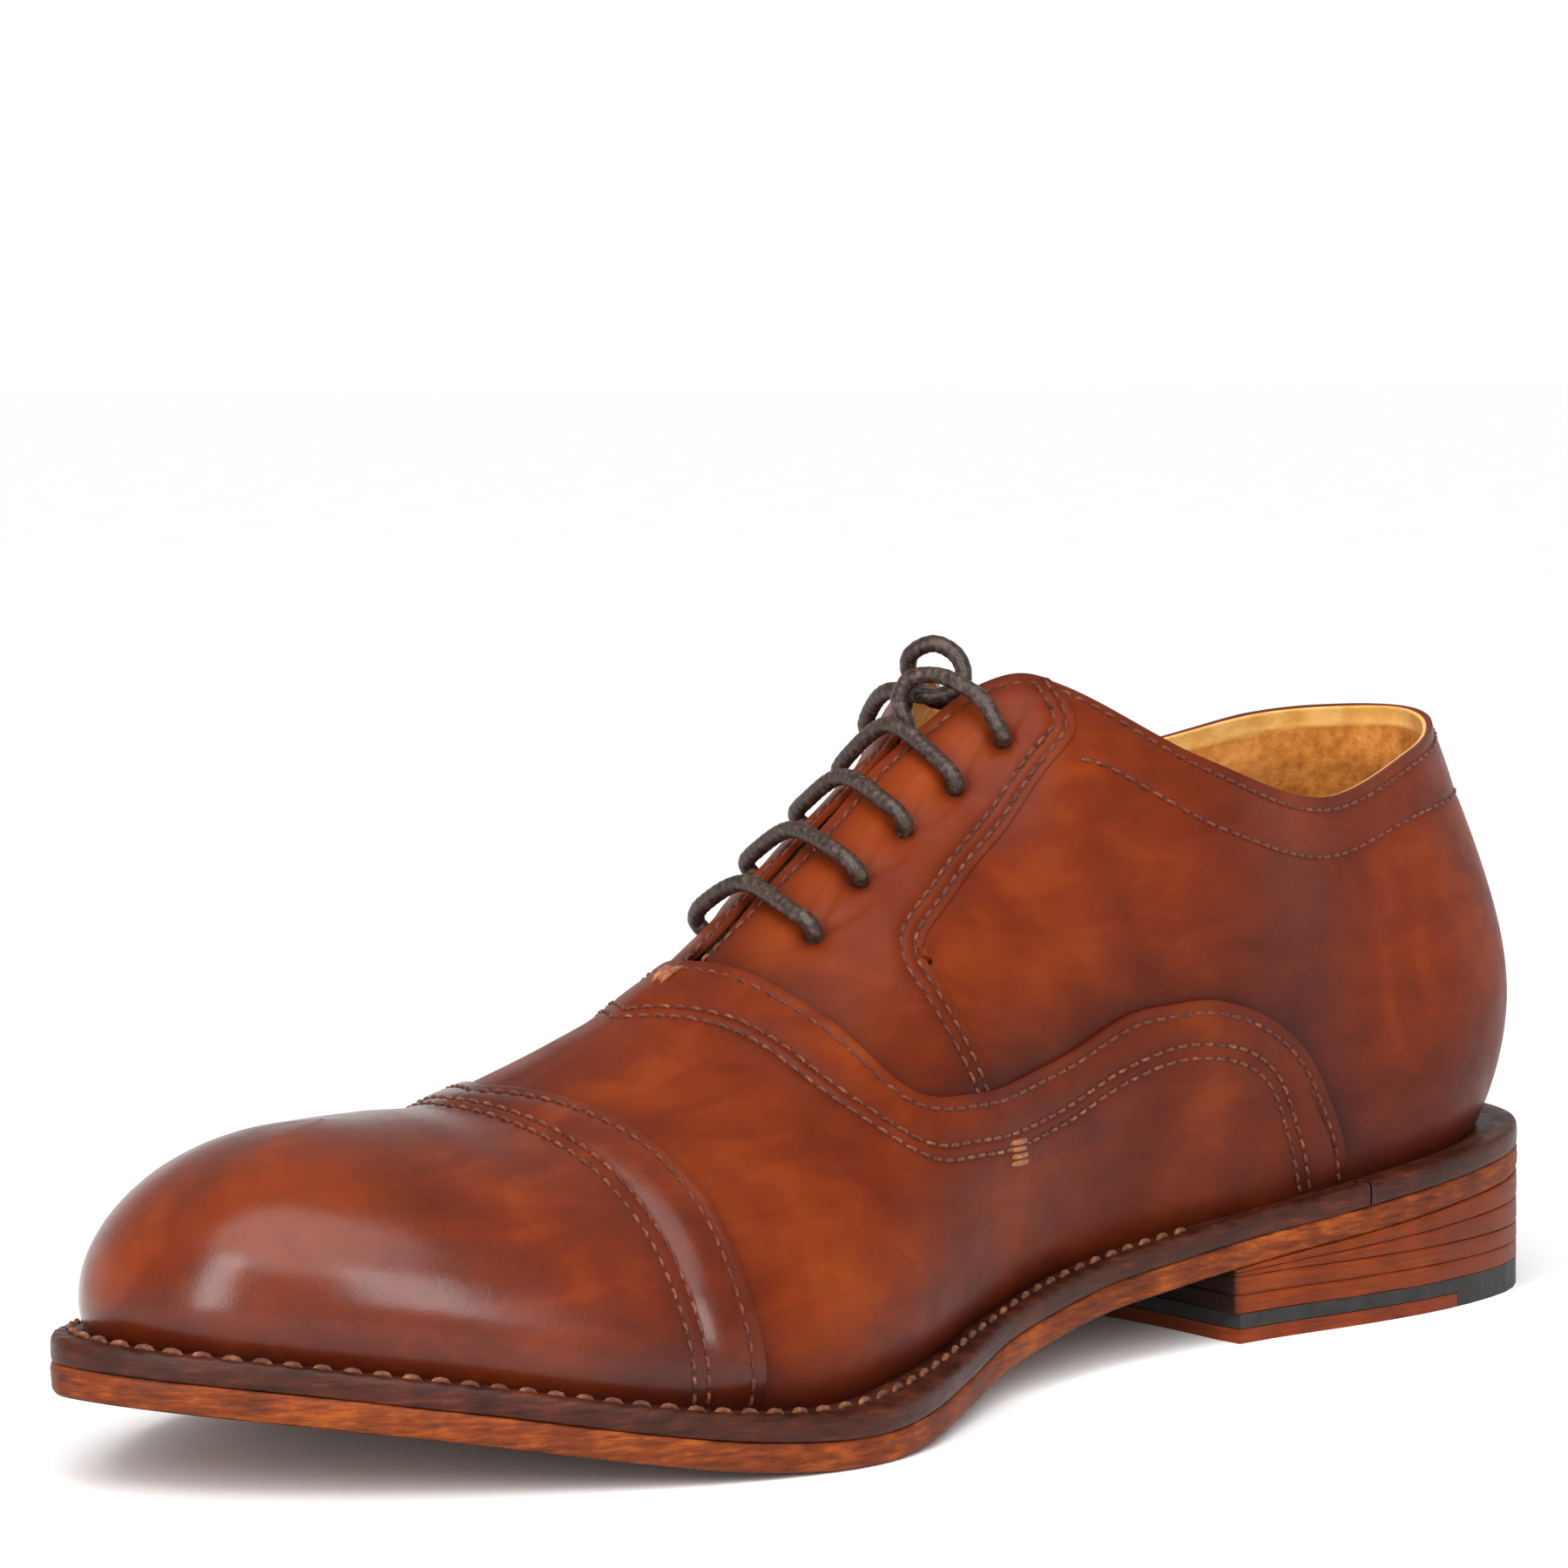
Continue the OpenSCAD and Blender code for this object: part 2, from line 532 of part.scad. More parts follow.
// A round cord along a route
module cord(route, d, sides) {
    last = len(route) - 1;
    unit = function(v) v / norm(v);
    ways = [for (i = [0:last]) unit(route[min(i + 1, last)] - route[max(i - 1, 0)])];
    first_side = unit(cross(ways[0], [0, 1, 0]));
    side_ways = [
        for (i = 0, w = first_side; i <= last;
            i = i + 1, w = i > last ? w : unit(w - (w * ways[i]) * ways[i])) w
    ];
    points = [
        for (i = [0:last], j = [0:sides - 1])
            let (a = 360 * j / sides, w = side_ways[i])
            route[i] + d / 2 * (cos(a) * w + sin(a) * cross(ways[i], w))
    ];
    at = function(i, j) i * sides + j % sides;
    faces = [
        [for (j = [0:sides - 1]) at(0, j)],
        for (i = [0:last - 1], j = [0:sides - 1]) each [
            [at(i, j), at(i + 1, j), at(i + 1, j + 1)],
            [at(i, j), at(i + 1, j + 1), at(i, j + 1)]
        ],
        [for (j = [sides - 1:-1:0]) at(last, j)]
    ];
    polyhedron(points, faces, convexity = 10);
}

module lace() {
    color("#3a2820") cord(lace_route * size, lace_diameter, lace_sides);
}

// A sleeve pressed over the first part of a route
module aglet(from, to) {
    way = to - from;
    translate(from)
        rotate([0, acos(way[2] / norm(way)), atan2(way[1], way[0])])
            difference() {
                cylinder(h = aglet_length, d = lace_diameter + 0.7);
                translate([0, 0, -1]) cylinder(h = aglet_length + 2, d = lace_diameter + 0.1);
            }
}

module aglets() {
    last = len(lace_route) - 1;
    color("#2c1d17") {
        aglet(lace_route[0] * size, lace_route[1] * size);
        aglet(lace_route[last] * size, lace_route[last - 1] * size);
    }
}

// A few threads side by side, sewn over the leather at a point of the upper
module tack(s, h, threads, length) {
    at_skin(s, h, -lap_rise - 0.3)
        for (k = [0:threads - 1])
            translate([(k - (threads - 1) / 2) * 1.1 - 0.5, -length / 2, 0]) cube([1, length, 0.8]);
}

module throat_tack() {
    color("#b5703a") tack(8.2, 1, 3, 6.5);
}

module side_tacks() {
    color("#b5703a") {
        tack(6.5, 0.255, 4, 5);
        tack(around - 6.5, 0.255, 4, 5);
    }
}

// ---------- Sole ----------

// Level outline through the rows of a list, n points to each row, moved out by a distance
function outline(rows, n, out = 0) = [
    for (k = [0:len(rows) * n - 1])
        let (s = k / n, a = on_loop(rows, s - 0.01), b = on_loop(rows, s + 0.01), p = on_loop(rows, s),
            l = norm([b[0] - a[0], b[1] - a[1]]),
            q = place([p[0] + (b[1] - a[1]) / l * out, p[1] - (b[0] - a[0]) / l * out, 0]))
        [q[0], q[1]]
];

function outsole_points(out = 0) = outline([for (p = outsole_outline) p * size], 3, out);

function feather_points(out = 0) = outline([for (row = sections) [row[0], row[1]]], 3, out);

// The layer between two heights over the ground side of the outsole
module layer(low, high) {
    us = [for (u = [-8:sole_step / 2:nominal_length + 18]) u];
    rotate([90, 0, 0]) linear_extrude(height = 200, center = true) polygon(concat(
        [for (u = us) [place([u * size, 0, 0])[0], sole_z(u * size) + low]],
        [for (k = [len(us) - 1:-1:0]) [place([us[k] * size, 0, 0])[0], sole_z(us[k] * size) + high]]
    ));
}

// Everything over an outline
module over(points) {
    translate([0, 0, -20]) linear_extrude(height = 100) polygon(points);
}

// Everything between two distances from the heel
module between(from, to) {
    translate([place([to * size, 0, 0])[0], -100, -30]) cube([(to - from) * size, 200, 120]);
}

module outsole() {
    color("#b5652b") difference() {
        intersection() {
            layer(0, outsole_thickness);
            over(outsole_points());
        }
        heel_nail_holes();
    }
}

module rim(from, to) {
    intersection() {
        layer(outsole_thickness, feather_height);
        difference() {
            over(outsole_points(-0.3));
            over(feather_points(0.4));
        }
        between(from, to);
    }
}

module welt() {
    color("#4a2416") rim(rand_end, nominal_length + 5);
}

module heel_rand() {
    color("#4a2416") rim(-5, rand_end - gap);
}

// Stitches along the top of the welt, close to the upper
module welt_stitches() {
    color("#b87a4a") for (s = [stitch_start:stitch_pitch:around - stitch_start]) {
        f = section(s)[0] + 2.6 * [outward(s)[0], outward(s)[1], 0];
        ahead = section(s + 0.02)[0] - section(s - 0.02)[0];
        translate(place([f[0], f[1], sole_z(f[0]) + feather_height + 0.15]))
            rotate([0, 0, atan2(ahead[1], -ahead[0])])
                rotate([0, -atan2(ahead[2], norm([ahead[0], ahead[1]])), 0])
                    translate([-1.7, -0.5, 0.15]) cube([3.4, 1, 0.6]);
    }
}

module insole() {
    low = feather_height - tuck + lining_depth + lining + 2 * gap;
    color("#d8b98a") intersection() {
        layer(low, low + insole_thickness);
        over(feather_points(-lining_depth - lining - 0.6));
    }
}

module sock_liner() {
    low = feather_height - tuck + lining_depth + lining + 3 * gap + insole_thickness;
    color("#c98d45") intersection() {
        layer(low, low + sock_thickness);
        over(feather_points(-lining_depth - lining - 1.4));
    }
}

module cork_filler() {
    base = feather_height - tuck - 2 * gap;
    top = feather_height - tuck + lining_depth + lining + gap;
    color("#8b6b4a") difference() {
        union() {
            intersection() {
                layer(outsole_thickness, base);
                over(feather_points(-0.3));
            }
            intersection() {
                layer(base - 0.5, top);
                over(feather_points(-margin - 0.8));
            }
        }
        intersection() {
            layer(top - shank_thickness - gap, top + 5);
            shank_strip(0.2);
        }
        heel_nail_holes();
    }
}

module shank_strip(extra) {
    translate([place([160 * size, 0, 0])[0] - extra, side_shift * size - 6 - extra, -30])
        cube([100 * size + 2 * extra, 12 + 2 * extra, 120]);
}

module shank() {
    top = feather_height - tuck + lining_depth + lining + gap;
    color("#9aa0a6") intersection() {
        layer(top - shank_thickness, top);
        shank_strip(0);
    }
}

// ---------- Heel ----------

// Everything over the heel, whose breast is a shallow curve
module heel_column() {
    difference() {
        intersection() {
            over(outsole_points());
            between(-5, heel_breast);
        }
        translate([place([(heel_breast + 178) * size, 0, 0])[0], side_shift * size, -30])
            cylinder(h = 120, r = 180 * size, $fn = 96);
    }
}

// The wedge between the level lifts and the outsole, from one share of its height to another
module seat_wedge(low, high) {
    level = top_piece_thickness + 2 * lift_thickness;
    us = [for (u = [-8:sole_step / 2:heel_breast + 18]) u];
    share = function(u, f) level + f * (sole_z(u * size) - level);
    rotate([90, 0, 0]) linear_extrude(height = 200, center = true) polygon(concat(
        [for (u = us) [place([u * size, 0, 0])[0], share(u, low)]],
        [for (k = [len(us) - 1:-1:0]) [place([us[k] * size, 0, 0])[0], share(us[k], high)]]
    ));
}

module wedge_lift(low, high) {
    difference() {
        intersection() {
            heel_column();
            seat_wedge(low, high);
        }
        heel_nail_holes();
    }
}

module level_lift(low) {
    difference() {
        intersection() {
            heel_column();
            translate([0, -100, low]) cube([200, 200, lift_thickness]);
        }
        heel_nail_holes();
    }
}

module heel_lift_1() {
    color("#b4622c") wedge_lift(0.5, 1);
}

module heel_lift_2() {
    color("#ad5c28") wedge_lift(0, 0.5);
}

module heel_lift_3() {
    color("#b4622c") level_lift(top_piece_thickness + lift_thickness);
}

module heel_lift_4() {
    color("#ad5c28") level_lift(top_piece_thickness);
}

// The part of the top piece given to leather, in front of a swallow-tailed joint
module inlay_space(extra) {
    intersection() {
        heel_column();
        translate([0, 0, -1]) linear_extrude(height = inlay_thickness + 1 + extra) polygon([
            for (p = [[34, -60], [41, 0], [34, 60], [110, 60], [110, -60]])
                let (q = place([p[0] * size, p[1] * size, 0]))
                [q[0] + extra, q[1]]
        ]);
    }
}

module top_piece() {
    color("#1d1a19") difference() {
        intersection() {
            heel_column();
            translate([0, -100, 0]) cube([200, 200, top_piece_thickness]);
        }
        inlay_space(gap);
    }
}

module top_piece_inlay() {
    color("#9c5426") intersection() {
        inlay_space(0);
        translate([0, -100, 0]) cube([200, 200, inlay_thickness]);
    }
}

module at_heel_nails() {
    for (p = heel_nail_places) {
        q = place([p[0] * size, p[1] * size, 0]);
        translate([q[0], q[1], 0]) children();
    }
}

module heel_nail_holes() {
    at_heel_nails() translate([0, 0, top_piece_thickness + 0.8]) cylinder(h = 60, d = nail_diameter + 0.1);
}

module heel_nails() {
    low = top_piece_thickness + 1;
    color("#8f9296") for (p = heel_nail_places) {
        q = place([p[0] * size, p[1] * size, sole_z(p[0] * size) + outsole_thickness + nail_reach]);
        translate([q[0], q[1], low]) cylinder(h = q[2] - low, d = nail_diameter);
    }
}

outsole();
welt();
heel_rand();
welt_stitches();
heel_lift_1();
heel_lift_2();
heel_lift_3();
heel_lift_4();
top_piece();
top_piece_inlay();
heel_nails();
cork_filler();
shank();
insole();
sock_liner();
toe_puff();
heel_counter();
vamp_lining();
outer_quarter_lining();
inner_quarter_lining();
outer_quarter();
inner_quarter();
outer_facing();
inner_facing();
vamp();
toe_cap();
blind_eyelets();
tongue();
tongue_lining();
lace();
aglets();
throat_tack();
side_tacks();
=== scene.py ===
"""Looks of the leather oxford shoe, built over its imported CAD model.

The upper is one smooth surface, described by sections round the shoe, and every piece of leather, seam and
stitch follows it. Lengths in the tables are millimetres; everything in Blender is in metres.
"""

import math

import bpy
import numpy as np
from mathutils import Matrix, Vector
from mathutils.kdtree import KDTree


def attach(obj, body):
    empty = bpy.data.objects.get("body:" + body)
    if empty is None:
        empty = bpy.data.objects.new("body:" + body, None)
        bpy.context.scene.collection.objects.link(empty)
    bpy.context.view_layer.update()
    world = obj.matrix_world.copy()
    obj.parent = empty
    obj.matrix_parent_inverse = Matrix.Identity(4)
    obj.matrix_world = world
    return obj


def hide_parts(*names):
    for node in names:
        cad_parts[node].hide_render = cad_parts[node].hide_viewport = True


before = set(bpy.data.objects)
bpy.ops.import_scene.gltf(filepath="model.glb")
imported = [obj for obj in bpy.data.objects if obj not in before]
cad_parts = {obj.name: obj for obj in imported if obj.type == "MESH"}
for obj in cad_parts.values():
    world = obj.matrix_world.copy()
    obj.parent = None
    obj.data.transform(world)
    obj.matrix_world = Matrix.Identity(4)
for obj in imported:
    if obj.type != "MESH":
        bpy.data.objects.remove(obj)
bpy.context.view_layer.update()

MM = 0.001

# ---------- Shape of the shoe: the same driving shapes as the CAD model ----------

# Where the frame's origin lies: its distance from the heel, and its shift to the side
MIDDLE = 151.0
SIDE_SHIFT = 7.75
# Thickness of the outsole, and height over its ground side of the feather edge, where upper and welt meet
OUTSOLE = 4.5
FEATHER = 8.5
# Thickness of the upper and how far it stands out where it lies over another piece
LEATHER = 1.1
LAP = 0.85
FACING_LAP = 0.35
# Depth under the outer surface, and thickness, of the linings and of the stiffener in the toe
LINING_DEPTH = 2.55
LINING = 0.8
PUFF_DEPTH = 1.3
PUFF = 0.9
# The heel: thickness of its top piece and lifts, its length and the radius of its front; end of the welt
TOP_PIECE = 5.0
LIFT = 3.2
HEEL_BREAST = 90.0
BREAST_RADIUS = 180.0
RAND_END = 60.0

# Height of the ground side of the outsole every 20 mm from the heel
SOLE_STEP = 20.0
SOLE_RISE = np.array([
    21.6, 19.7, 17.7, 15.6, 13.6, 11.7, 9.5, 6.7, 3.8, 1.5, 0, 1.3, 4.7, 8.6, 12, 14.8, 17.2,
])

# Outline of the outsole from the heel back, outer side first: distance from the heel, side distance
OUTSOLE_OUTLINE = np.array([
    [0, 0], [2, -12], [8, -22.5], [20, -30.5], [40, -34.5], [60, -34.5], [82, -32.5], [105, -32.5],
    [125, -33.5], [150, -40], [170, -50.5], [185, -58.5], [198, -62], [212, -61], [230, -56], [250, -47],
    [268, -37], [283, -26], [293, -16], [299, -7], [302, 2], [300, 8], [295.5, 14], [287, 22.5],
    [275, 32], [260, 39.5], [245, 44], [230, 46.5], [213, 46.5], [198, 44], [184, 39.5], [165, 33.5],
    [145, 28.5], [125, 26.5], [105, 28], [82, 31.5], [60, 34], [40, 34], [20, 30], [8, 22], [2, 12],
], float)

# Sections round the shoe: feather edge [from heel, side], top edge [from heel, side, height],
# swell above the feather [out, up], swell below the top [out, down], heading of the top swell
OUTER_SECTIONS = [
    [2, 0, 3, 0, 102, 9, 27, 6, 28, 180],
    [7.5, -19.5, 9, -11, 100, 13, 27, 9, 28, -120],
    [25, -29.2, 24, -20, 96.3, 10, 27, 7, 26, -95],
    [52, -31, 55, -27, 90, 5, 24, 3, 20, -90],
    [82, -29.5, 86, -28, 98.6, 6, 26, 10, 12, -90],
    [108, -29, 112, -12, 113, 9, 30, 18, 6, -90],
    [130, -32, 130, -1.5, 102, 11, 30, 24, 3, -90],
    [152, -40, 152, -1.5, 86, 10, 26, 26, 2, -90],
    [175, -50, 175, 0, 69.5, 8, 22, 27, 1, -90],
    [198, -55, 198, 0, 58.8, 7, 19, 30, 0, -90],
    [222, -51.5, 222, 0, 51.5, 6, 18, 28, 0, -90],
    [246, -41.5, 236, 0, 51, 6, 17, 27, 0, -90],
    [268.5, -28, 246, 0, 51, 5.3, 15, 25, 0, -55],
    [282.5, -14, 248, 0, 51.2, 4.5, 13, 27, 0, -28],
]
TOE_SECTION = [287, 1, 248, 0, 51.2, 4.2, 12.5, 27, 0, 0]
INNER_SECTIONS = [
    [282, 14.5, 248, 0, 51.2, 4.5, 12.5, 26, 0, 28],
    [267.5, 27, 246, 0, 51, 5, 14.5, 24, 0, 55],
    [246, 35, 236, 0, 51, 5.3, 16, 24, 0, 90],
    [222, 39, 222, 0, 51.5, 6, 18, 24, 1, 90],
    [198, 38, 198, 0, 58.8, 7, 19, 24, 2, 90],
    [175, 32, 175, 0, 69.5, 8, 22, 22, 4, 90],
    [152, 25, 152, 1.5, 86, 10, 26, 22, 5, 90],
    [130, 21, 130, 1.5, 102, 11, 30, 22, 5, 90],
    [108, 22, 112, 12, 113, 9, 30, 18, 6, 90],
    [82, 26, 86, 28, 101.8, 6, 26, 10, 12, 90],
    [52, 29, 55, 27, 96, 5, 24, 3, 20, 90],
    [25, 28, 24, 20, 101, 12, 27, 7, 26, 95],
    [7.5, 19.2, 9, 11, 102.3, 13, 27, 9, 28, 120],
]
# Place of the upper on the sole: how far forward and inward of its tables it stands
LAST_FORWARD, LAST_INWARD = 6.5, 2.0
section_rows = np.array(OUTER_SECTIONS + [TOE_SECTION] + INNER_SECTIONS, float)
section_rows[:, [0, 2]] += LAST_FORWARD
section_rows[:, [1, 3]] += LAST_INWARD
heading = np.radians(section_rows[:, 9])
SECTIONS = np.column_stack([section_rows[:, :9], np.cos(heading), np.sin(heading)])
AROUND = len(SECTIONS)
TOE = AROUND / 2

# Small steps on the surface, and the height fraction just under its top, where its normal is still known
SECTION_STEP = 0.01
HEIGHT_STEP = 0.005
CREST = 0.9995

# Seams as [section, height fraction] on the outer side
VAMP_EDGE = np.array([
    [3.05, 0], [3.2, 0.155], [3.43, 0.315], [3.73, 0.39], [4.17, 0.41], [4.7, 0.37], [5.45, 0.335],
    [6.2, 0.345], [6.85, 0.385], [7.5, 0.475], [7.78, 0.68], [7.93, 0.845], [8.05, 1],
])
VAMP_STITCH = np.array([
    [3.35, 0], [3.52, 0.16], [3.7, 0.28], [4, 0.33], [4.4, 0.325], [4.98, 0.285], [5.7, 0.265],
    [6.4, 0.28], [7, 0.325], [7.55, 0.39], [8, 0.56], [8.25, 0.78], [8.6, 1],
])
CAP_EDGE = np.array([[9.43, 0], [9.43, 0.25], [9.38, 0.5], [9.45, 0.7], [9.78, 1]])
CAP_STITCH = np.array([[9.85, 0], [9.85, 0.25], [9.82, 0.5], [9.87, 0.7], [10.13, 1]])
FACING_REAR = np.array([
    [6.66, 0.335], [6.75, 0.42], [6.87, 0.55], [6.88, 0.645], [6.4, 0.665], [5.6, 0.7], [4.95, 0.8],
    [4.85, 1],
])
FACING_BOTTOM = np.array([
    [6.66, 0.335], [6.95, 0.36], [7.5, 0.43], [7.72, 0.56], [7.93, 0.72], [8.08, 0.86], [8.12, 0.95],
])
FACING_FRONT = np.array([[8.12, 0.95], [7.9, 0.97], [7.5, 0.99], [6.9, 1], [6.3, 1], [5.9, 1], [5.6, 1]])
FACING_TOP = np.array([[4.85, 1], [5.6, 1]])
QUARTER_FRONT = np.array([
    [6.72, 0.335], [6.9, 0.42], [7.05, 0.5], [7.2, 0.6], [7.1, 0.68], [6.5, 0.715], [5.75, 0.745],
    [5.25, 0.8], [5.07, 0.88], [5.02, 1],
])
QUARTER_BOTTOM = np.array([
    [0.01, 0], [0.75, 0], [1.5, 0], [2.25, 0], [3, 0], [3.3, 0.17], [3.62, 0.315], [4.2, 0.37], [4.8, 0.33],
    [5.45, 0.3], [6.1, 0.31], [6.72, 0.335],
])
QUARTER_TOP = np.array([
    [0.01, 1], [0.75, 1], [1.5, 1], [2.2, 1], [2.85, 1], [3.3, 1], [3.7, 1], [4.05, 1], [4.35, 1], [4.6, 1],
    [4.83, 1], [5.02, 1],
])
COLLAR_ROW = np.array([
    [4.98, 0.745], [4.88, 0.75], [4.5, 0.752], [4.17, 0.765], [3.7, 0.79], [3.25, 0.82], [2.8, 0.845],
    [2.4, 0.86], [1.7, 0.855], [1, 0.845], [0.33, 0.835], [0, 0.833],
])
EYELETS = np.array([[7.45, 0.82], [6.98, 0.835], [6.5, 0.83], [6, 0.815], [5.5, 0.83]])

# Tongue, from the throat to its top: distance from heel, height of its ridge, half width, fall at its sides
TONGUE = np.array([
    [171, 61.5, 12, 3.5], [155, 72, 15, 7], [140, 82, 16.5, 9.5], [125, 92, 17, 11], [111, 101.5, 19, 12],
])

# Route of the lace in the frame, from one end inside the shoe through all ten eyelets and the half knot
LACE_ROUTE = np.array([
    [44.5, 5.5, 63], [46, 5.5, 78], [45.5, 5.5, 92], [42.5, 6, 101], [37.5, 6.5, 106], [32, 7, 107],
    [26.5, 8, 103.5], [22, 9, 102], [18.5, 10, 102.5], [17, 10, 105.5], [16.5, 11, 109],
    [17.5, 9, 112.5], [19.5, 4.5, 113], [20.5, 0, 111.5], [21.5, -4, 109], [22.5, -7, 104],
    [26, -4, 101], [25.5, -3, 99.5], [18.5, -1.5, 93.5], [16.5, -2, 93.5], [14, -5, 96.5],
    [13.5, -1, 100], [13, 9.5, 105], [13, 19.5, 99.5], [14, 23, 95.5], [16.5, 19.5, 93], [16, 18, 90.5],
    [10.5, 19, 86.2], [4, 20, 81.7], [-3.5, 18, 78.5], [-5, 19, 78.5], [-7.5, 22, 82], [-8.5, 18.5, 85],
    [-8.5, 9.5, 89], [-8.5, -1, 86], [-7.5, -5, 83], [-5, -2.5, 79.5], [-5.5, -2, 77.5],
    [-13.5, -3, 71], [-15.5, -3.5, 71], [-18, -5.5, 75], [-19, -1.5, 77.5], [-19, 9.5, 81],
    [-19.5, 19, 77], [-18, 22.5, 73.5], [-15.5, 19.5, 70.5], [-14, 18.5, 70.5], [-5.5, 14.5, 76.5],
    [0, 15.5, 80.5], [5, 17.5, 84.5], [5.5, 18.5, 86], [3.5, 22, 89.5], [2.5, 18.5, 92.5],
    [2.5, 9.5, 97], [2.5, -0.5, 93.5], [3.5, -4, 90.5], [5.5, -1.5, 87], [7, 0.5, 86.5],
    [13.5, 7, 90.5], [20.5, 15, 96], [26, 20.5, 99.5], [26, 22.5, 101], [22.5, 25.5, 103],
    [21, 22, 107.5], [20, 17, 110], [21, 12, 109.5], [23, 7.5, 109.5], [25, 4.5, 112], [25, 6, 116],
    [23, 9.5, 118], [21.5, 13.5, 116], [23, 15, 112], [26.5, 14, 108.5], [32, 13.5, 107.5],
    [37.5, 14, 106], [42.5, 14, 101], [45.5, 14, 92], [46, 14, 78], [44.5, 14, 65],
], float)


def blend(a, b, c, d, f):
    """Catmull-Rom curve between b and c."""
    return b + f / 2 * (c - a) + f * f / 2 * (2 * a - 5 * b + 4 * c - d) + f**3 / 2 * (3 * b - 3 * c + d - a)


def unit(v):
    """Vectors scaled to length 1."""
    return v / np.linalg.norm(v, axis=-1, keepdims=True)


def run_along(points):
    """Length along a line of points, up to each of them."""
    return np.concatenate([[0], np.cumsum(np.linalg.norm(np.diff(points, axis=0), axis=1))])


def points_at(points, run, at):
    """Points on a line of points at given lengths along it."""
    return np.column_stack([np.interp(at, run, points[:, k]) for k in range(points.shape[1])])


def on_loop(rows, s):
    """Points on the smooth closed loop through rows, at every s."""
    s = np.asarray(s, float)
    i = np.floor(s).astype(int)
    n = len(rows)
    f = s - i
    if rows.ndim > 1:
        f = f[..., None]
    return blend(rows[(i - 1) % n], rows[i % n], rows[(i + 1) % n], rows[(i + 2) % n], f)


def on_curve(rows, f):
    """Points on the smooth open curve through rows, f from 0 to 1."""
    n = len(rows) - 1
    s = np.clip(np.asarray(f, float), 0, 1) * n
    i = np.minimum(np.floor(s).astype(int), n - 1)
    g = s - i
    if rows.ndim > 1:
        g = g[..., None]
    return blend(rows[np.maximum(i - 1, 0)], rows[i], rows[i + 1], rows[np.minimum(i + 2, n)], g)


def sole_z(u):
    """Height of the ground side of the outsole at a distance from the heel."""
    f = np.clip(np.asarray(u, float) / SOLE_STEP, 0, len(SOLE_RISE) - 1.001) / (len(SOLE_RISE) - 1)
    return np.maximum(0, on_curve(SOLE_RISE, f))


def place(p):
    """From distance from the heel, side and height to the frame of the shoe, in metres."""
    p = np.asarray(p, float)
    return np.stack([MIDDLE - p[..., 0], p[..., 1] + SIDE_SHIFT, p[..., 2]], axis=-1) * MM


def outward(s):
    """Level direction straight out from the feather edge."""
    d = unit(on_loop(SECTIONS, s + SECTION_STEP)[..., :2] - on_loop(SECTIONS, s - SECTION_STEP)[..., :2])
    return np.stack([d[..., 1], -d[..., 0]], axis=-1)


def section(s):
    """The four control points of the section at s."""
    r = on_loop(SECTIONS, s)
    low_u, low_y, top_u, top_y, top_z, low_out, low_up, top_out, top_down = np.moveaxis(r[..., :9], -1, 0)
    head = unit(r[..., 9:11])
    out = outward(s)
    low_z = sole_z(low_u) + FEATHER
    controls = (
        (low_u, low_y, low_z),
        (low_u + out[..., 0] * low_out, low_y + out[..., 1] * low_out, low_z + low_up),
        (top_u + head[..., 0] * top_out, top_y + head[..., 1] * top_out, top_z - top_down),
        (top_u, top_y, top_z),
    )
    return tuple(np.stack(control, -1) for control in controls)


def on_section(c, h):
    """Points at height fractions h on sections with control points c."""
    h = h[..., None]
    g = 1 - h
    return g**3 * c[0] + 3 * g * g * h * c[1] + 3 * g * h * h * c[2] + h**3 * c[3]


def along_section(c, h):
    """Upward direction of the sections at height fractions h."""
    h = h[..., None]
    g = 1 - h
    return 3 * g * g * (c[1] - c[0]) + 6 * g * h * (c[2] - c[1]) + 3 * h * h * (c[3] - c[2])


def surface(s, h):
    """Points of the upper and its outward normals. Below the feather, h < 0, it goes on straight down."""
    s = np.asarray(s, float)
    h = np.asarray(h, float)
    c = section(s)
    k = np.clip(h, 0, CREST)
    rise = along_section(c, k)
    across = on_section(section(s + SECTION_STEP), k) - on_section(section(s - SECTION_STEP), k)
    normal = unit(np.cross(across, rise))
    # The sections meet in one line on top of the toe, where a normal can't be told from their direction
    crown = (k > 0.95) & (np.abs(s - TOE) < 4.5) & (normal[..., 2] < 0.75)
    normal = np.where(crown[..., None], [0.0, 0.0, 1.0], normal)
    return on_section(c, np.maximum(h, 0)) + np.minimum(h, 0)[..., None] * rise, normal


def seam_at(seam, h):
    """Section at which an evenly rising seam stands at a height fraction."""
    return np.interp(np.clip(h, 0, 1), seam[:, 1], seam[:, 0])


def patch(bottom, top, left, right, n, m):
    """Points [section, height fraction] over a patch bounded by four smooth curves."""
    u = np.linspace(0, 1, n + 1)[:, None, None]
    v = np.linspace(0, 1, m + 1)[None, :, None]
    below = on_curve(bottom, u[:, 0, 0])[:, None]
    above = on_curve(top, u[:, 0, 0])[:, None]
    before = on_curve(left, v[0, :, 0])[None]
    after = on_curve(right, v[0, :, 0])[None]
    corners = (1 - u) * ((1 - v) * bottom[0] + v * top[0]) + u * ((1 - v) * bottom[-1] + v * top[-1])
    return (1 - v) * below + v * above + (1 - u) * before + u * after - corners


def mirrored(grid):
    """The same grid or line on the inner side of the foot."""
    flipped = grid[::-1].copy()
    flipped[..., 0] = AROUND - flipped[..., 0]
    return flipped


def over_toe(half):
    """A grid from the outer side over the toe to the inner side, from its outer half."""
    return np.concatenate([half, mirrored(half)[1:]])


def smooth_step(x):
    """0 below 0, 1 above 1, and a smooth rise between them."""
    x = np.clip(x, 0, 1)
    return x * x * (3 - 2 * x)


# ---------- Seams and stitch lines ----------


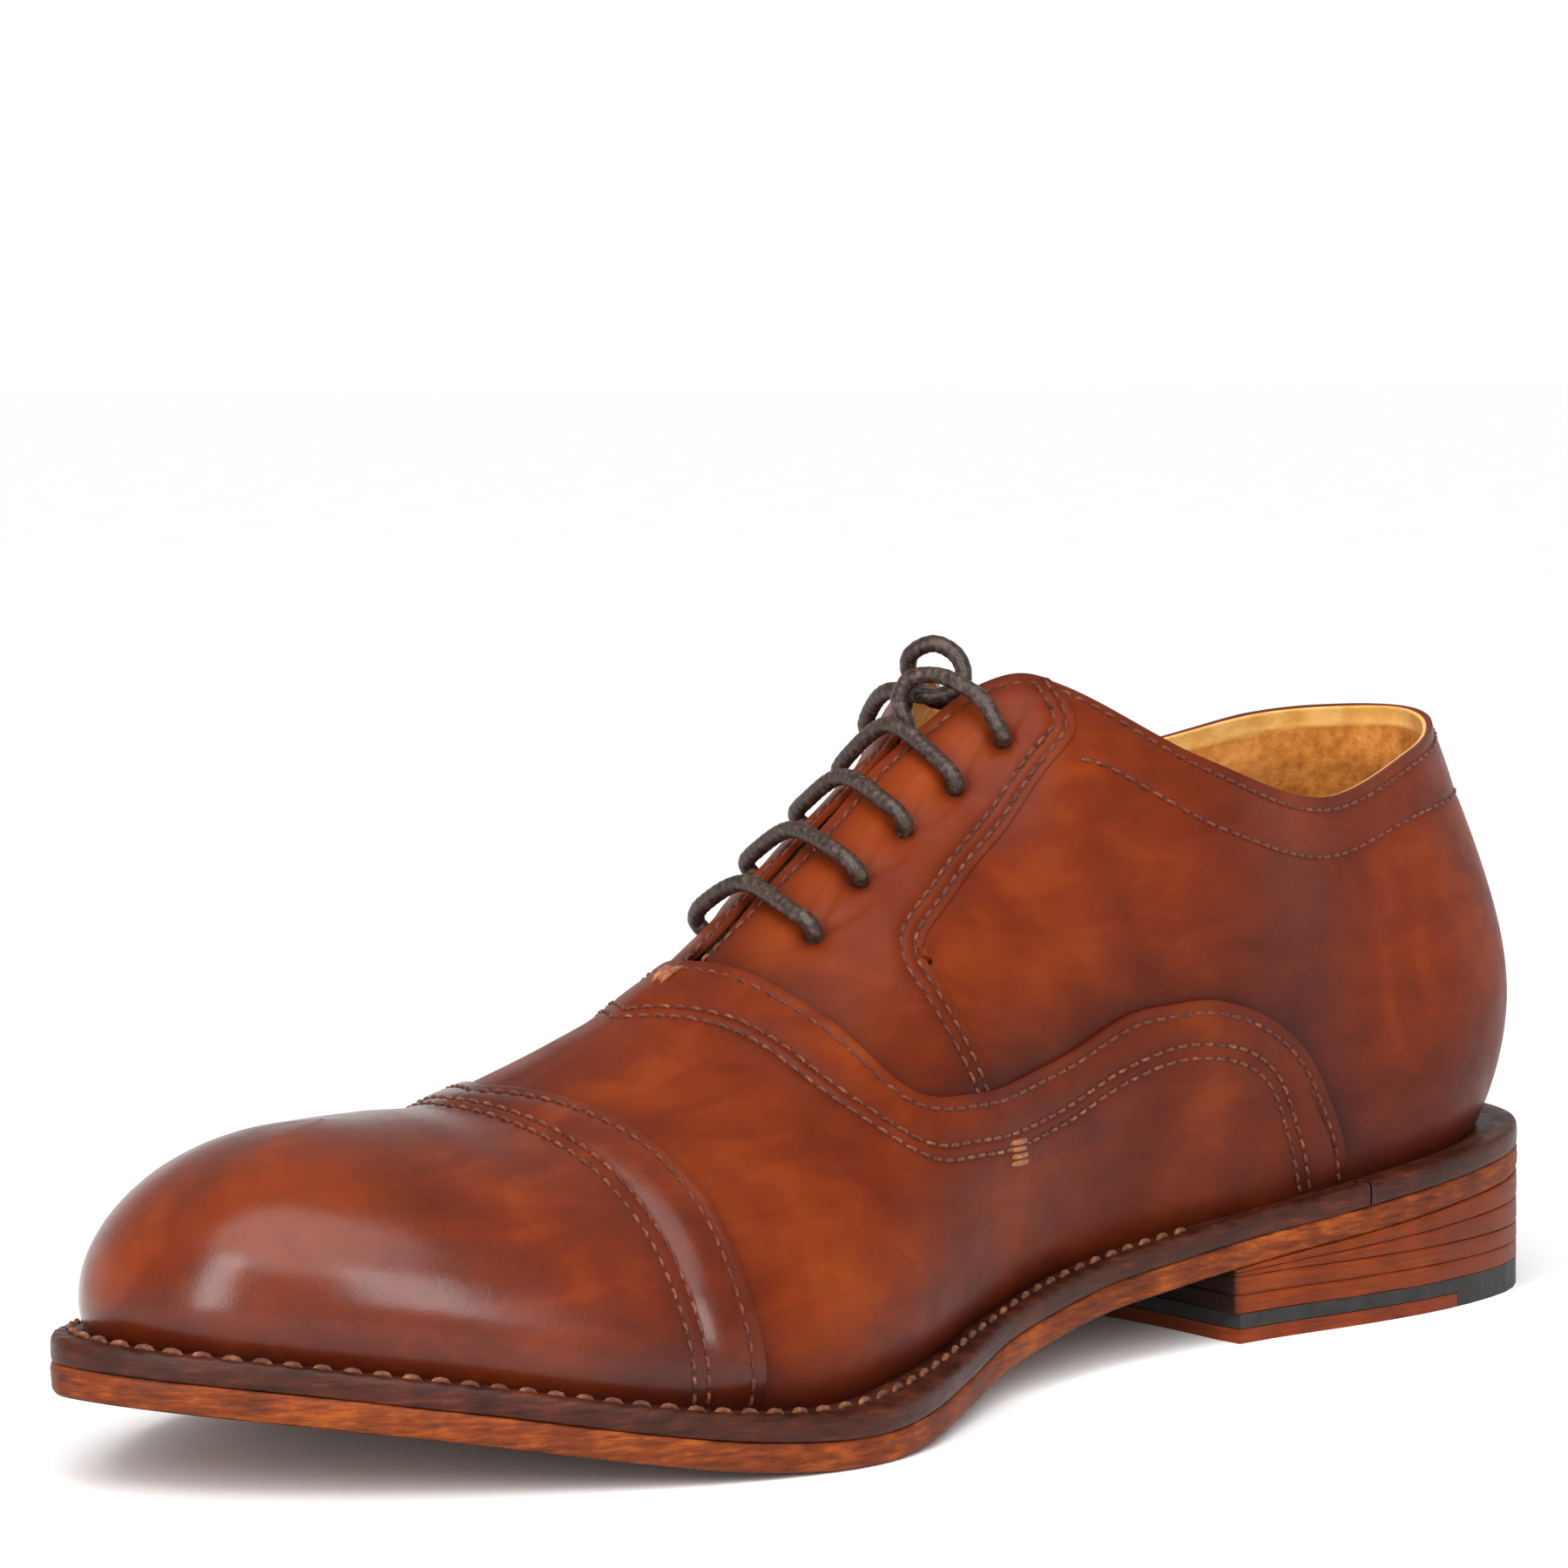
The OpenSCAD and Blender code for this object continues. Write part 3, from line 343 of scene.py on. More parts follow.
def resampled(line, pitch):
    """A line [section, height fraction] with points every pitch millimetres."""
    fine = on_curve(line, np.linspace(0, 1, 40 * (len(line) - 1) + 1))
    run = run_along(surface(fine[:, 0], fine[:, 1])[0])
    count = max(2, int(round(run[-1] / pitch)) + 1)
    return points_at(fine, run, np.linspace(0, run[-1], count))


def beside(line, distance, pitch=3.0):
    """The line moved sideways over the surface; positive is up for a line that runs towards the toe."""
    q = resampled(line, pitch)
    s, h = q[:, 0], np.clip(q[:, 1], 0, 0.999)
    p, normal = surface(s, h)
    ds = (surface(s + SECTION_STEP, h)[0] - surface(s - SECTION_STEP, h)[0]) / (2 * SECTION_STEP)
    higher, lower = np.minimum(h + HEIGHT_STEP, CREST), h - HEIGHT_STEP
    dh = (surface(s, higher)[0] - surface(s, lower)[0]) / (higher - lower)[:, None]
    way = unit(np.gradient(p, axis=0))
    side = np.cross(normal, way) * distance
    moved = []
    for k in range(len(q)):
        step = np.linalg.lstsq(np.column_stack([ds[k], dh[k]]), side[k], rcond=None)[0]
        moved.append([s[k] + step[0], min(1.0, h[k] + step[1])])
    return np.array(moved)


def line_points(lines, pitch=0.8):
    """Points in space along several lines of the upper."""
    made = []
    for line in lines:
        q = resampled(line, pitch)
        made.append(surface(q[:, 0], q[:, 1])[0])
    return np.concatenate(made)


def nearest(points, targets):
    """Distance from each point to the nearest target, in millimetres."""
    tree = KDTree(len(targets))
    for k, target in enumerate(targets):
        tree.insert(target, k)
    tree.balance()
    flat = points.reshape(-1, 3)
    return np.array([tree.find(p)[2] for p in flat]).reshape(points.shape[:-1])


def both_sides(lines):
    """Lines on the outer side, with the same lines on the inner side."""
    return lines + [mirrored(line) for line in lines]


# Distance of a row of stitches from a cut edge, of the facing's first row and of the top row, and of two rows
EDGE_ROW = 2.0
FACING_ROW = 1.5
TOP_ROW = 2.2
ROW_GAP = 2.3
FACING_LINE = np.array([[8, 1], [7.5, 1], [7, 1], [6.5, 1], [6, 1], [5.6, 1]])
TOP_LINE = np.column_stack([np.linspace(0.05, 5.5, 24), np.ones(24)])

vamp_edge_rows = both_sides([beside(VAMP_EDGE, -EDGE_ROW)])
vamp_double_rows = both_sides([beside(VAMP_STITCH, 0), beside(VAMP_STITCH, -ROW_GAP)])
cap_edge_rows = both_sides([beside(CAP_EDGE, -EDGE_ROW)])
cap_double_rows = both_sides([beside(CAP_STITCH, -ROW_GAP / 2), beside(CAP_STITCH, ROW_GAP / 2)])
facing_rows = both_sides([
    beside(FACING_REAR, -FACING_ROW), beside(FACING_REAR, -FACING_ROW - ROW_GAP),
    beside(FACING_LINE, TOP_ROW),
])
top_rows = both_sides([beside(TOP_LINE, -TOP_ROW), COLLAR_ROW])
double_rows = vamp_double_rows + cap_double_rows

stitched = line_points(vamp_edge_rows + cap_edge_rows + double_rows + facing_rows + top_rows)
vamp_edge_points = line_points(both_sides([VAMP_EDGE]))
cap_edge_points = line_points(both_sides([CAP_EDGE]))
facing_edge_points = line_points(both_sides([FACING_REAR]))
double_row_points = line_points(facing_rows + double_rows)
top_edge = np.column_stack([np.linspace(0, 5.6, 60), np.ones(60)])
top_points = line_points(both_sides([top_edge]))
eyelet_points = np.concatenate([
    surface(EYELETS[:, 0], EYELETS[:, 1])[0],
    surface(AROUND - EYELETS[:, 0], EYELETS[:, 1])[0],
])


def edge_fade(distance, flat, slope):
    """1 up to flat millimetres from an edge, then smoothly down to 0."""
    return 1 - smooth_step((distance - flat) / slope)


def above_welt(h):
    """A lapped edge lies flat where it meets the welt."""
    return np.clip(h / 0.1, 0, 1)


def vamp_lap(p, h):
    """The vamp lies over the quarters at its waved edge."""
    return LAP * edge_fade(nearest(p, vamp_edge_points), 9, 9) * above_welt(h)


def cap_lap(p, h):
    """The toe cap lies over the vamp at its edge."""
    return LAP * edge_fade(nearest(p, cap_edge_points), 4.5, 7) * above_welt(h)


def facing_lap(p, h):
    """A facing lies over the quarter at its rear edge."""
    return FACING_LAP * edge_fade(nearest(p, facing_edge_points), 4.5, 6) * smooth_step((h - 0.34) / 0.08)


def no_lap(p, h):
    """A piece that lies over no other."""
    return np.zeros(np.shape(h))


def under_vamp(grid, lap_above, depth=0.9):
    """A lap for a grid that runs on under the vamp: it dives below it a little way inside the vamp's edge."""
    s = np.minimum(grid[..., 0], AROUND - grid[..., 0])
    covered = grid[..., 1] < np.interp(s, VAMP_EDGE[:, 0], VAMP_EDGE[:, 1], left=-1)

    def lap(p, h):
        return lap_above(p, h) - depth * covered * smooth_step((nearest(p, vamp_edge_points) - 2) / 4)

    return lap


def eyelet_creases():
    """Short folds in the leather behind each eyelet, where the lace pulls."""
    lines = []
    for k, (s, h) in enumerate(EYELETS):
        for rise, reach in ((0.03, 0.42), (-0.035, 0.3)):
            lines.append(np.array([
                [s - 0.1, h + rise * 0.3],
                [s - 0.1 - reach / 2, h + rise * (0.9 + 0.1 * k)],
                [s - 0.1 - reach, h + rise],
            ]))
    return both_sides(lines)


crease_points = line_points(eyelet_creases())
# Places of the painted highlight, just in front of and above each eyelet
painted_highlight_points = np.concatenate([
    surface(EYELETS[:, 0] + 0.2, EYELETS[:, 1] + 0.06)[0],
    surface(AROUND - EYELETS[:, 0] - 0.2, EYELETS[:, 1] + 0.06)[0],
])


# ---------- Meshes ----------


# Points this close are one, and edges sharper than the angle are cut edges, rounded this much
WELD_REACH = 0.02
CUT_ROUNDING = 0.3
CUT_ANGLE = math.radians(55)


def add_object(name, verts, faces, material, body, attributes=None):
    """A smooth mesh with one material that rides on a body; attributes are values for its points by name."""
    mesh = bpy.data.meshes.new(name)
    mesh.from_pydata(verts.tolist(), [], faces)
    for key, values in (attributes or {}).items():
        layer = mesh.attributes.new(key, "FLOAT", "POINT")
        layer.data.foreach_set("value", np.asarray(values, np.float32).ravel())
    mesh.polygons.foreach_set("use_smooth", [True] * len(mesh.polygons))
    mesh.update()
    piece = bpy.data.objects.new(name, mesh)
    bpy.context.scene.collection.objects.link(piece)
    mesh.materials.append(material)
    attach(piece, body)
    return piece


def grid_faces(n, m, loop_rows=False, loop_columns=False, flip=False):
    """Quads over n rows of m points; a loop joins its last row or column to its first."""
    rows = np.arange(n if loop_rows else n - 1)
    columns = np.arange(m if loop_columns else m - 1)
    i, j = (index.ravel() for index in np.meshgrid(rows, columns, indexing="ij"))
    a, b = i * m + j, (i + 1) % n * m + j
    c, d = (i + 1) % n * m + (j + 1) % m, i * m + (j + 1) % m
    quads = np.column_stack([a, d, c, b] if flip else [a, b, c, d])
    return quads.tolist()


def leather_sheet(name, grid, raised, normals, thickness, material, body, attributes, weld=False):
    """A sheet of leather from a grid of points in millimetres, with its cut edges rounded."""
    n, m = grid.shape[:2]
    verts = place(grid + normals * raised[..., None])
    out = normals * [-1, 1, 1]
    face = np.cross(verts[1:, :-1] - verts[:-1, :-1], verts[:-1, 1:] - verts[:-1, :-1])
    flip = (face * out[:-1, :-1]).sum() < 0
    piece = add_object(name, verts.reshape(-1, 3), grid_faces(n, m, flip=flip), material, body, attributes)
    if weld:
        piece.modifiers.new("weld", "WELD").merge_threshold = WELD_REACH * MM
    solid = piece.modifiers.new("thickness", "SOLIDIFY")
    solid.thickness = thickness * MM
    solid.offset = -1
    bevel = piece.modifiers.new("cut_edge", "BEVEL")
    bevel.width = CUT_ROUNDING * MM
    bevel.segments = 2
    bevel.limit_method = "ANGLE"
    bevel.angle_limit = CUT_ANGLE
    return piece


def wobble(p):
    """Faint unevenness of hand-lasted leather, in millimetres."""
    u, y, z = p[..., 0], p[..., 1], p[..., 2]
    slow = np.sin(u / 17 + 1.3) * np.sin(y / 12 + z / 19) + 0.6 * np.sin(u / 9 - z / 11 + 2)
    fast = np.sin(u / 4.1 + y / 5.3) * np.sin(z / 4.7 - u / 7.9 + 0.7)
    return 0.09 * slow + 0.03 * fast


def bell(distance, height, width):
    """A smooth rise of a height and width, both in millimetres, round where the distance is 0."""
    return height * np.exp(-(distance / width) ** 2)


def upper_relief(p, tight=1.0):
    """How far the leather stands above its smooth surface: seams pull it in, eyelets dimple it."""
    seam = nearest(p, stitched)
    eye = nearest(p, eyelet_points)
    crease = nearest(p, crease_points)
    low = -bell(seam, 0.22, 0.75) - bell(seam, 0.12, 2.6)
    low -= bell(eye, 1.1, 2.3) + bell(eye, 0.35, 6)
    low -= bell(crease, 0.22, 0.9) - bell(crease - 1.9, 0.12, 0.9)
    return low + wobble(p) * tight


def upper_painted_highlight(p):
    """0 to 1 where a painted highlight lightens the leather to orange: between the eyelets and over the toe.
    """
    lacing = np.exp(-(nearest(p, painted_highlight_points) / 6) ** 2)
    toe = np.exp(-(np.linalg.norm((p - [268, -12, 38]) / [16, 14, 12], axis=-1)) ** 2)
    return np.clip(0.9 * lacing + 0.8 * toe, 0, 1)


def upper_shade(p, h, quarter_side):
    """Darkening, 0 to 1: darker by the vamp and cap edges, the stitch rows and the top line;
    painted shade round the eyelet holes and low on the upper, deepest just above the welt.
    """
    vamp = nearest(p, vamp_edge_points)
    cap = nearest(p, cap_edge_points)
    rows = nearest(p, double_row_points)
    top = nearest(p, top_points)
    eye = nearest(p, eyelet_points)
    # Roughly the height above the welt, in millimetres
    foot = np.maximum(h, 0) * 60
    # Darker near the vamp's edge, most on the quarter side, and near the cap's edge, the stitch rows and the
    # top line
    shade = (0.85 if quarter_side else 0.35) * np.exp(-vamp / (7 if quarter_side else 4))
    shade = shade + 0.4 * np.exp(-cap / 5) + 0.3 * np.exp(-rows / 2.5) + 0.35 * np.exp(-top / 3.5)
    # Painted shade: low on the upper, deepest just above the welt, and round the eyelet holes
    shade = shade + 0.6 * np.exp(-foot / 6) + 0.25 * np.exp(-foot / 22) + 0.8 * np.exp(-(eye / 2.6) ** 2)
    return np.clip(shade, 0, 1)


def upper_piece(name, node, grid, lap, material, tight=1.0, quarter_side=False, weld=False):
    """One piece of the upper over a grid [section, height]; lap says how far it stands over its neighbour."""
    s, h = grid[..., 0], np.minimum(grid[..., 1], 1)
    p, normals = surface(s, h)
    raised = lap(p, h) + upper_relief(p, tight)
    shade = {"shade": upper_shade(p, h, quarter_side), "painted_highlight": upper_painted_highlight(p)}
    piece = leather_sheet(name, p, raised, normals, LEATHER, material, "shoe", shade, weld=weld)
    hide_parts(node)


def with_hem(grid, drop):
    """The grid with one more column below its first, down in the crease of the welt."""
    hem = grid[:, :1].copy()
    hem[..., 1] = -drop
    return np.concatenate([hem, grid], axis=1)


# ---------- Materials ----------


class Nodes:
    """Builds one procedural material on the Principled shader."""

    def __init__(self, name, roughness, **sockets):
        self.material = bpy.data.materials.new(name)
        self.material.use_nodes = True
        self.tree = self.material.node_tree
        self.shader = self.tree.nodes["Principled BSDF"]
        self.shader.inputs["Roughness"].default_value = roughness
        for key, value in sockets.items():
            self.shader.inputs[key.replace("_", " ")].default_value = value
        self.place = self.tree.nodes.new("ShaderNodeTexCoord").outputs["Object"]

    def link(self, a, b):
        self.tree.links.new(a, b)

    def stretched(self, x, y, z):
        """Object coordinates scaled along each axis, in metres."""
        node = self.tree.nodes.new("ShaderNodeMapping")
        node.inputs["Scale"].default_value = (x, y, z)
        self.link(self.place, node.inputs["Vector"])
        return node.outputs["Vector"]

    def noise(self, size_mm, detail=3.0, rough=0.55, where=None, distortion=0.0):
        node = self.tree.nodes.new("ShaderNodeTexNoise")
        node.inputs["Scale"].default_value = 1 / (size_mm * MM)
        node.inputs["Detail"].default_value = detail
        node.inputs["Roughness"].default_value = rough
        node.inputs["Distortion"].default_value = distortion
        self.link(where or self.place, node.inputs["Vector"])
        return node.outputs["Fac"]

    def cells(self, size_mm):
        node = self.tree.nodes.new("ShaderNodeTexVoronoi")
        node.inputs["Scale"].default_value = 1 / (size_mm * MM)
        self.link(self.place, node.inputs["Vector"])
        return node.outputs["Distance"]

    def attribute(self, name):
        node = self.tree.nodes.new("ShaderNodeAttribute")
        node.attribute_name = name
        return node.outputs["Fac"]

    def remap(self, value, low, high, to_low=0.0, to_high=1.0):
        node = self.tree.nodes.new("ShaderNodeMapRange")
        node.inputs["From Min"].default_value = low
        node.inputs["From Max"].default_value = high
        node.inputs["To Min"].default_value = to_low
        node.inputs["To Max"].default_value = to_high
        self.link(value, node.inputs["Value"])
        return node.outputs["Result"]

    def maths(self, operation, a, b):
        node = self.tree.nodes.new("ShaderNodeMath")
        node.operation = operation
        for socket, value in zip(node.inputs, (a, b)):
            if isinstance(value, (int, float)):
                socket.default_value = value
            else:
                self.link(value, socket)
        return node.outputs["Value"]

    def ramp(self, value, stops):
        """Colours by value: stops are (position, hex colour)."""
        node = self.tree.nodes.new("ShaderNodeValToRGB")
        elements = node.color_ramp.elements
        while len(elements) < len(stops):
            elements.new(0.5)
        for element, (position, colour) in zip(elements, stops):
            element.position = position
            element.color = rgba(colour)
        self.link(value, node.inputs["Fac"])
        return node.outputs["Color"]

    def mix(self, a, b, factor):
        """Colour a where the factor is 0 and colour b where it is 1; each is a socket or a hex colour."""
        node = self.tree.nodes.new("ShaderNodeMix")
        node.data_type = "RGBA"
        for socket, value in ((node.inputs[0], factor), (node.inputs[6], a), (node.inputs[7], b)):
            if isinstance(value, str):
                socket.default_value = rgba(value)
            else:
                self.link(value, socket)
        return node.outputs[2]

    def colour(self, value):
        self.link(value, self.shader.inputs["Base Color"])

    def roughness(self, value):
        self.link(value, self.shader.inputs["Roughness"])

    def bump(self, *layers):
        """Each layer is (height, strength, distance in millimetres)."""
        normal = None
        for height, strength, distance in layers:
            node = self.tree.nodes.new("ShaderNodeBump")
            node.inputs["Strength"].default_value = strength
            node.inputs["Distance"].default_value = distance * MM
            self.link(height, node.inputs["Height"])
            if normal:
                self.link(normal, node.inputs["Normal"])
            normal = node.outputs["Normal"]
        self.link(normal, self.shader.inputs["Normal"])


def rgba(hex_colour):
    """A colour as it looks on screen, turned into linear light."""
    channels = [int(hex_colour[i : i + 2], 16) / 255 for i in (1, 3, 5)]
    return [c / 12.92 if c <= 0.04045 else ((c + 0.055) / 1.055) ** 2.4 for c in channels] + [1]


def calf(name, light, mid, dark, rough, polish, gloss):
    """Hand-finished calf: cloudy dye, streaks of polish, darkening by the seams, painted shade, a painted
    highlight and a fine grain.
    """
    m = Nodes(name, rough, Coat_Weight=polish, Coat_Roughness=0.2, Specular_IOR_Level=gloss)
    clouds = m.noise(30, 3, 0.5, distortion=0.5)
    streaks = m.noise(11, 4, 0.6, m.stretched(0.5, 1, 1.3), 0.8)
    tone = m.maths("ADD", m.maths("MULTIPLY", clouds, 0.68), m.maths("MULTIPLY", streaks, 0.32))
    body = m.ramp(tone, [(0.27, dark), (0.5, mid), (0.75, light)])
    # Painted highlight: the colour turns lighter orange between the eyelets and over the toe
    highlighted = m.mix(body, light, m.maths("MULTIPLY", m.attribute("painted_highlight"), 0.6))
    # Darker towards #260b08 by the shade attribute: painted shade, and darkening by the seams and edges
    darkened = m.mix(highlighted, "#260b08", m.maths("MULTIPLY", m.attribute("shade"), 0.78))
    m.colour(darkened)
    m.roughness(m.remap(m.noise(6, 4), 0.3, 0.7, rough - 0.06, rough + 0.07))
    grain = m.cells(0.55)
    pores = m.noise(0.35, 2)
    m.bump((grain, 0.10, 0.12), (pores, 0.12, 0.1), (m.noise(3.2, 3), 0.12, 0.5))
    return m.material


def suede_lining():
    m = Nodes("lining_leather", 0.85, Sheen_Weight=0.08, Sheen_Roughness=0.5, Specular_IOR_Level=0.15)
    nap = m.noise(2.2, 5, 0.7)
    patch_tone = m.noise(14, 3, 0.6)
    tone = m.maths("ADD", m.maths("MULTIPLY", nap, 0.55), m.maths("MULTIPLY", patch_tone, 0.45))
    napped = m.ramp(tone, [(0.35, "#8f521c"), (0.5, "#ba7530"), (0.66, "#d6944c")])
    smooth_strip = m.ramp(m.noise(5, 3), [(0.35, "#cf9648"), (0.65, "#e3b066")])
    strip = m.attribute("strip")
    m.colour(m.mix(napped, smooth_strip, strip))
    m.bump((nap, 0.35, 0.5), (m.noise(0.5, 2), 0.3, 0.25))
    return m.material


def cut_leather(name, stops, rough, streak=(1, 1, 7)):
    """A trimmed edge of sole leather: fibres run along it, and inked faces are nearly black; on the heel's
    breast this is also painted shade, where it lies under the waist.
    """
    m = Nodes(name, rough, Coat_Weight=0.03, Coat_Roughness=0.3, Specular_IOR_Level=0.16)
    fibres = m.noise(5.5, 5, 0.65, m.stretched(*streak))
    stains = m.noise(11, 4, 0.6)
    tone = m.maths("ADD", m.maths("MULTIPLY", fibres, 0.6), m.maths("MULTIPLY", stains, 0.4))
    # Nearly black where the ink attribute is set: ink, and on the heel's breast also painted shade
    m.colour(m.mix(m.ramp(tone, stops), "#160a07", m.maths("MULTIPLY", m.attribute("ink_and_shade"), 0.92)))
    m.roughness(m.remap(fibres, 0.3, 0.7, rough - 0.1, rough + 0.15))
    m.bump((fibres, 0.35, 0.5), (m.noise(0.9, 3), 0.25, 0.3))
    return m.material


def thread(name, stops):
    m = Nodes(name, 0.6, Sheen_Weight=0.1, Specular_IOR_Level=0.25)
    twist = m.noise(0.45, 2)
    m.colour(m.ramp(m.noise(1.6, 3), stops))
    m.bump((twist, 0.4, 0.15))
    return m.material


def lace_material():
    m = Nodes("waxed_lace", 0.42, Coat_Weight=0.1, Coat_Roughness=0.3, Specular_IOR_Level=0.35)
    wax = m.noise(1.1, 4, 0.65)
    m.colour(m.ramp(wax, [(0.35, "#1f1410"), (0.52, "#33231c"), (0.7, "#574238")]))
    m.roughness(m.remap(wax, 0.3, 0.7, 0.3, 0.6))
    m.bump((m.noise(0.4, 2), 0.4, 0.15))
    return m.material


def rubber():
    m = Nodes("black_rubber", 0.62, Specular_IOR_Level=0.4)
    dust = m.noise(4, 5, 0.7)
    m.colour(m.ramp(dust, [(0.4, "#151413"), (0.62, "#262322"), (0.78, "#3a3431")]))
    m.bump((m.noise(0.6, 3), 0.3, 0.2))
    return m.material


def metal(name, colour, rough):
    m = Nodes(name, rough, Metallic=1.0)
    m.colour(m.ramp(m.noise(2, 3), [(0.3, colour), (0.7, "#d8d4cc")]))
    m.bump((m.noise(1.0, 3), 0.1, 0.1))
    return m.material


cap_leather = calf("toe_cap_leather", "#90390a", "#602007", "#360f05", 0.27, 0.28, 0.16)
upper_leather = calf("upper_leather", "#8a390d", "#66240b", "#431408", 0.4, 0.0, 0.1)
tongue_leather = calf("tongue_leather", "#6a2a17", "#4e1d12", "#36120c", 0.42, 0.03, 0.2)
lining_leather = suede_lining()
outsole_edge = cut_leather(
    "outsole_edge", [(0.34, "#3a1506"), (0.5, "#692c0b"), (0.66, "#964a17")], 0.6)
welt_leather = cut_leather(
    "welt_leather", [(0.36, "#210d08"), (0.55, "#401b10"), (0.74, "#6b3219")], 0.42)
heel_leather = cut_leather(
    "heel_leather", [(0.32, "#4e1a03"), (0.5, "#6c2804"), (0.7, "#843909")], 0.5, (0.6, 0.6, 9))
sole_leather = cut_leather(
    "sole_leather", [(0.34, "#a8703c"), (0.5, "#c48d55"), (0.68, "#d9a873")], 0.6, (1, 1, 1))
upper_thread = thread("upper_thread", [(0.35, "#42190e"), (0.55, "#5f2a18"), (0.7, "#7c4229")])
bright_thread = thread("bright_thread", [(0.35, "#431c0f"), (0.55, "#64321b"), (0.7, "#84502f")])
tack_thread = thread("tack_thread", [(0.35, "#6a351e"), (0.55, "#8d5030"), (0.7, "#a56a45")])
welt_thread = thread("welt_thread", [(0.35, "#4a2413"), (0.55, "#6e3c20"), (0.7, "#8f5c36")])
# Painted shade inside the needle holes: nearly black
needle_hole_shade = thread("needle_hole_shade", [(0.4, "#1c0a07"), (0.6, "#2a120b")])
lace_cord = lace_material()
heel_rubber = rubber()


# ---------- Camera, floor and light ----------

TARGET = Vector((0.001, 0.00775, 0.05))
DISTANCE = 0.8482
AZIMUTH, ELEVATION = math.radians(42.26), math.radians(7.63)
PAN, TILT, ROLL = math.radians(-0.66), math.radians(-3.1), math.radians(-0.35)
FOCAL_LENGTH, SENSOR_WIDTH = 118.54, 36


def backwards(azimuth, elevation):
    """Direction from the target to a camera at an azimuth and elevation."""
    return Vector((-math.sin(azimuth) * math.cos(elevation), -math.cos(azimuth) * math.cos(elevation),
                   math.sin(elevation)))


def make_camera():
    data = bpy.data.cameras.new("camera")
    data.lens = FOCAL_LENGTH
    data.sensor_width = SENSOR_WIDTH
    camera = bpy.data.objects.new("camera", data)
    bpy.context.scene.collection.objects.link(camera)
    back = backwards(AZIMUTH + PAN, ELEVATION + TILT)
    level = Vector((math.cos(AZIMUTH + PAN), -math.sin(AZIMUTH + PAN), 0))
    up = back.cross(level)
    turn = Matrix((level, up, back)).transposed() @ Matrix.Rotation(ROLL, 3, "Z")
    place_m = TARGET + DISTANCE * backwards(AZIMUTH, ELEVATION)
    camera.matrix_world = Matrix.Translation(place_m) @ turn.to_4x4()
    bpy.context.scene.camera = camera


def add_light(name, kind, place_m, aim, power):
    data = bpy.data.lights.new(name, kind)
    data.energy = power
    light = bpy.data.objects.new(name, data)
    light.location = place_m
    light.rotation_mode = "QUATERNION"
    light.rotation_quaternion = (Vector(aim) - Vector(place_m)).to_track_quat("-Z", "Y")
    bpy.context.scene.collection.objects.link(light)
    return data


def area_light(name, place_m, size, power):
    data = add_light(name, "AREA", place_m, TARGET, power)
    data.shape = "RECTANGLE"
    data.size, data.size_y = size


def make_world():
    """White surroundings that are brightest at the horizon."""
    world = bpy.data.worlds.new("studio")
    world.use_nodes = True
    nodes = world.node_tree.nodes
    links = world.node_tree.links
    where = nodes.new("ShaderNodeTexCoord").outputs["Generated"]
    height = nodes.new("ShaderNodeSeparateXYZ")
    links.new(where, height.inputs[0])
    fade = nodes.new("ShaderNodeMapRange")
    fade.interpolation_type = "SMOOTHSTEP"
    for key, value in (("From Min", 0.1), ("From Max", 0.5), ("To Min", 1.0), ("To Max", 0.4)):
        fade.inputs[key].default_value = value
    links.new(height.outputs["Z"], fade.inputs["Value"])
    links.new(fade.outputs["Result"], nodes["Background"].inputs["Strength"])
    nodes["Background"].inputs["Color"].default_value = (1, 1, 1, 1)
    bpy.context.scene.world = world


def make_floor(radius=60.0, sides=64):
    mesh = bpy.data.meshes.new("floor")
    ring = [(radius * math.cos(2 * math.pi * k / sides), radius * math.sin(2 * math.pi * k / sides), 0)
            for k in range(sides)]
    mesh.from_pydata(ring, [], [list(range(sides))])
    floor = bpy.data.objects.new("floor", mesh)
    bpy.context.scene.collection.objects.link(floor)
    paper = Nodes("floor_paper", 0.9, Specular_IOR_Level=0.1)
    paper.colour(paper.ramp(paper.noise(60), [(0.3, "#f8f8f8"), (0.7, "#fbfbfb")]))
    mesh.materials.append(paper.material)


def make_studio():
    bpy.context.scene.view_settings.view_transform = "Standard"
    make_world()
    make_floor()
    add_light("overhead", "SUN", (-0.35, -0.35, 1.0), (0, 0, 0), 2.1).angle = math.radians(50)
    area_light("key_left", (-1.0, -0.3, 0.5), (0.25, 0.9), 8)
    area_light("key_front", (-0.4, -1.0, 0.65), (0.4, 0.6), 7)


make_camera()
make_studio()

# ---------- Upper ----------

# How far the vamp, the cap and the quarters go on below the feather, down behind the welt
HEM = 0.035
# Width of the smooth strip along the top of the quarter linings
STRIP_WIDTH = 3.2


def toe_cap():
    hs = np.concatenate([[-HEM], np.linspace(0, 1, 80) ** 0.93])
    start = seam_at(CAP_EDGE, hs)
    shares = np.concatenate([np.linspace(0, 1, 24) * 0.16, np.linspace(0.17, 1, 74)])
    half = np.array([np.column_stack([start + (TOE - start) * f, hs]) for f in shares])
    grid = over_toe(half)
    upper_piece("toe_cap_leather", "toe_cap", grid, cap_lap, cap_leather, tight=0.5, weld=True)


def toe_puff():
    """Stiffener between the toe cap and its lining."""
    rear = 10.3
    hs = np.linspace(0.02, 1, 50)
    shares = np.linspace(0, 1, 40)
    half = np.array([np.column_stack([rear + (TOE - rear) * np.full(50, f), hs]) for f in shares])
    grid = over_toe(half)
    p, normals = surface(grid[..., 0], grid[..., 1])
    raised = np.full(grid.shape[:2], -PUFF_DEPTH)
    piece = leather_sheet("toe_puff_sheet", p, raised, normals, PUFF, sole_leather, "shoe", {}, weld=True)
    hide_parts("toe_puff")


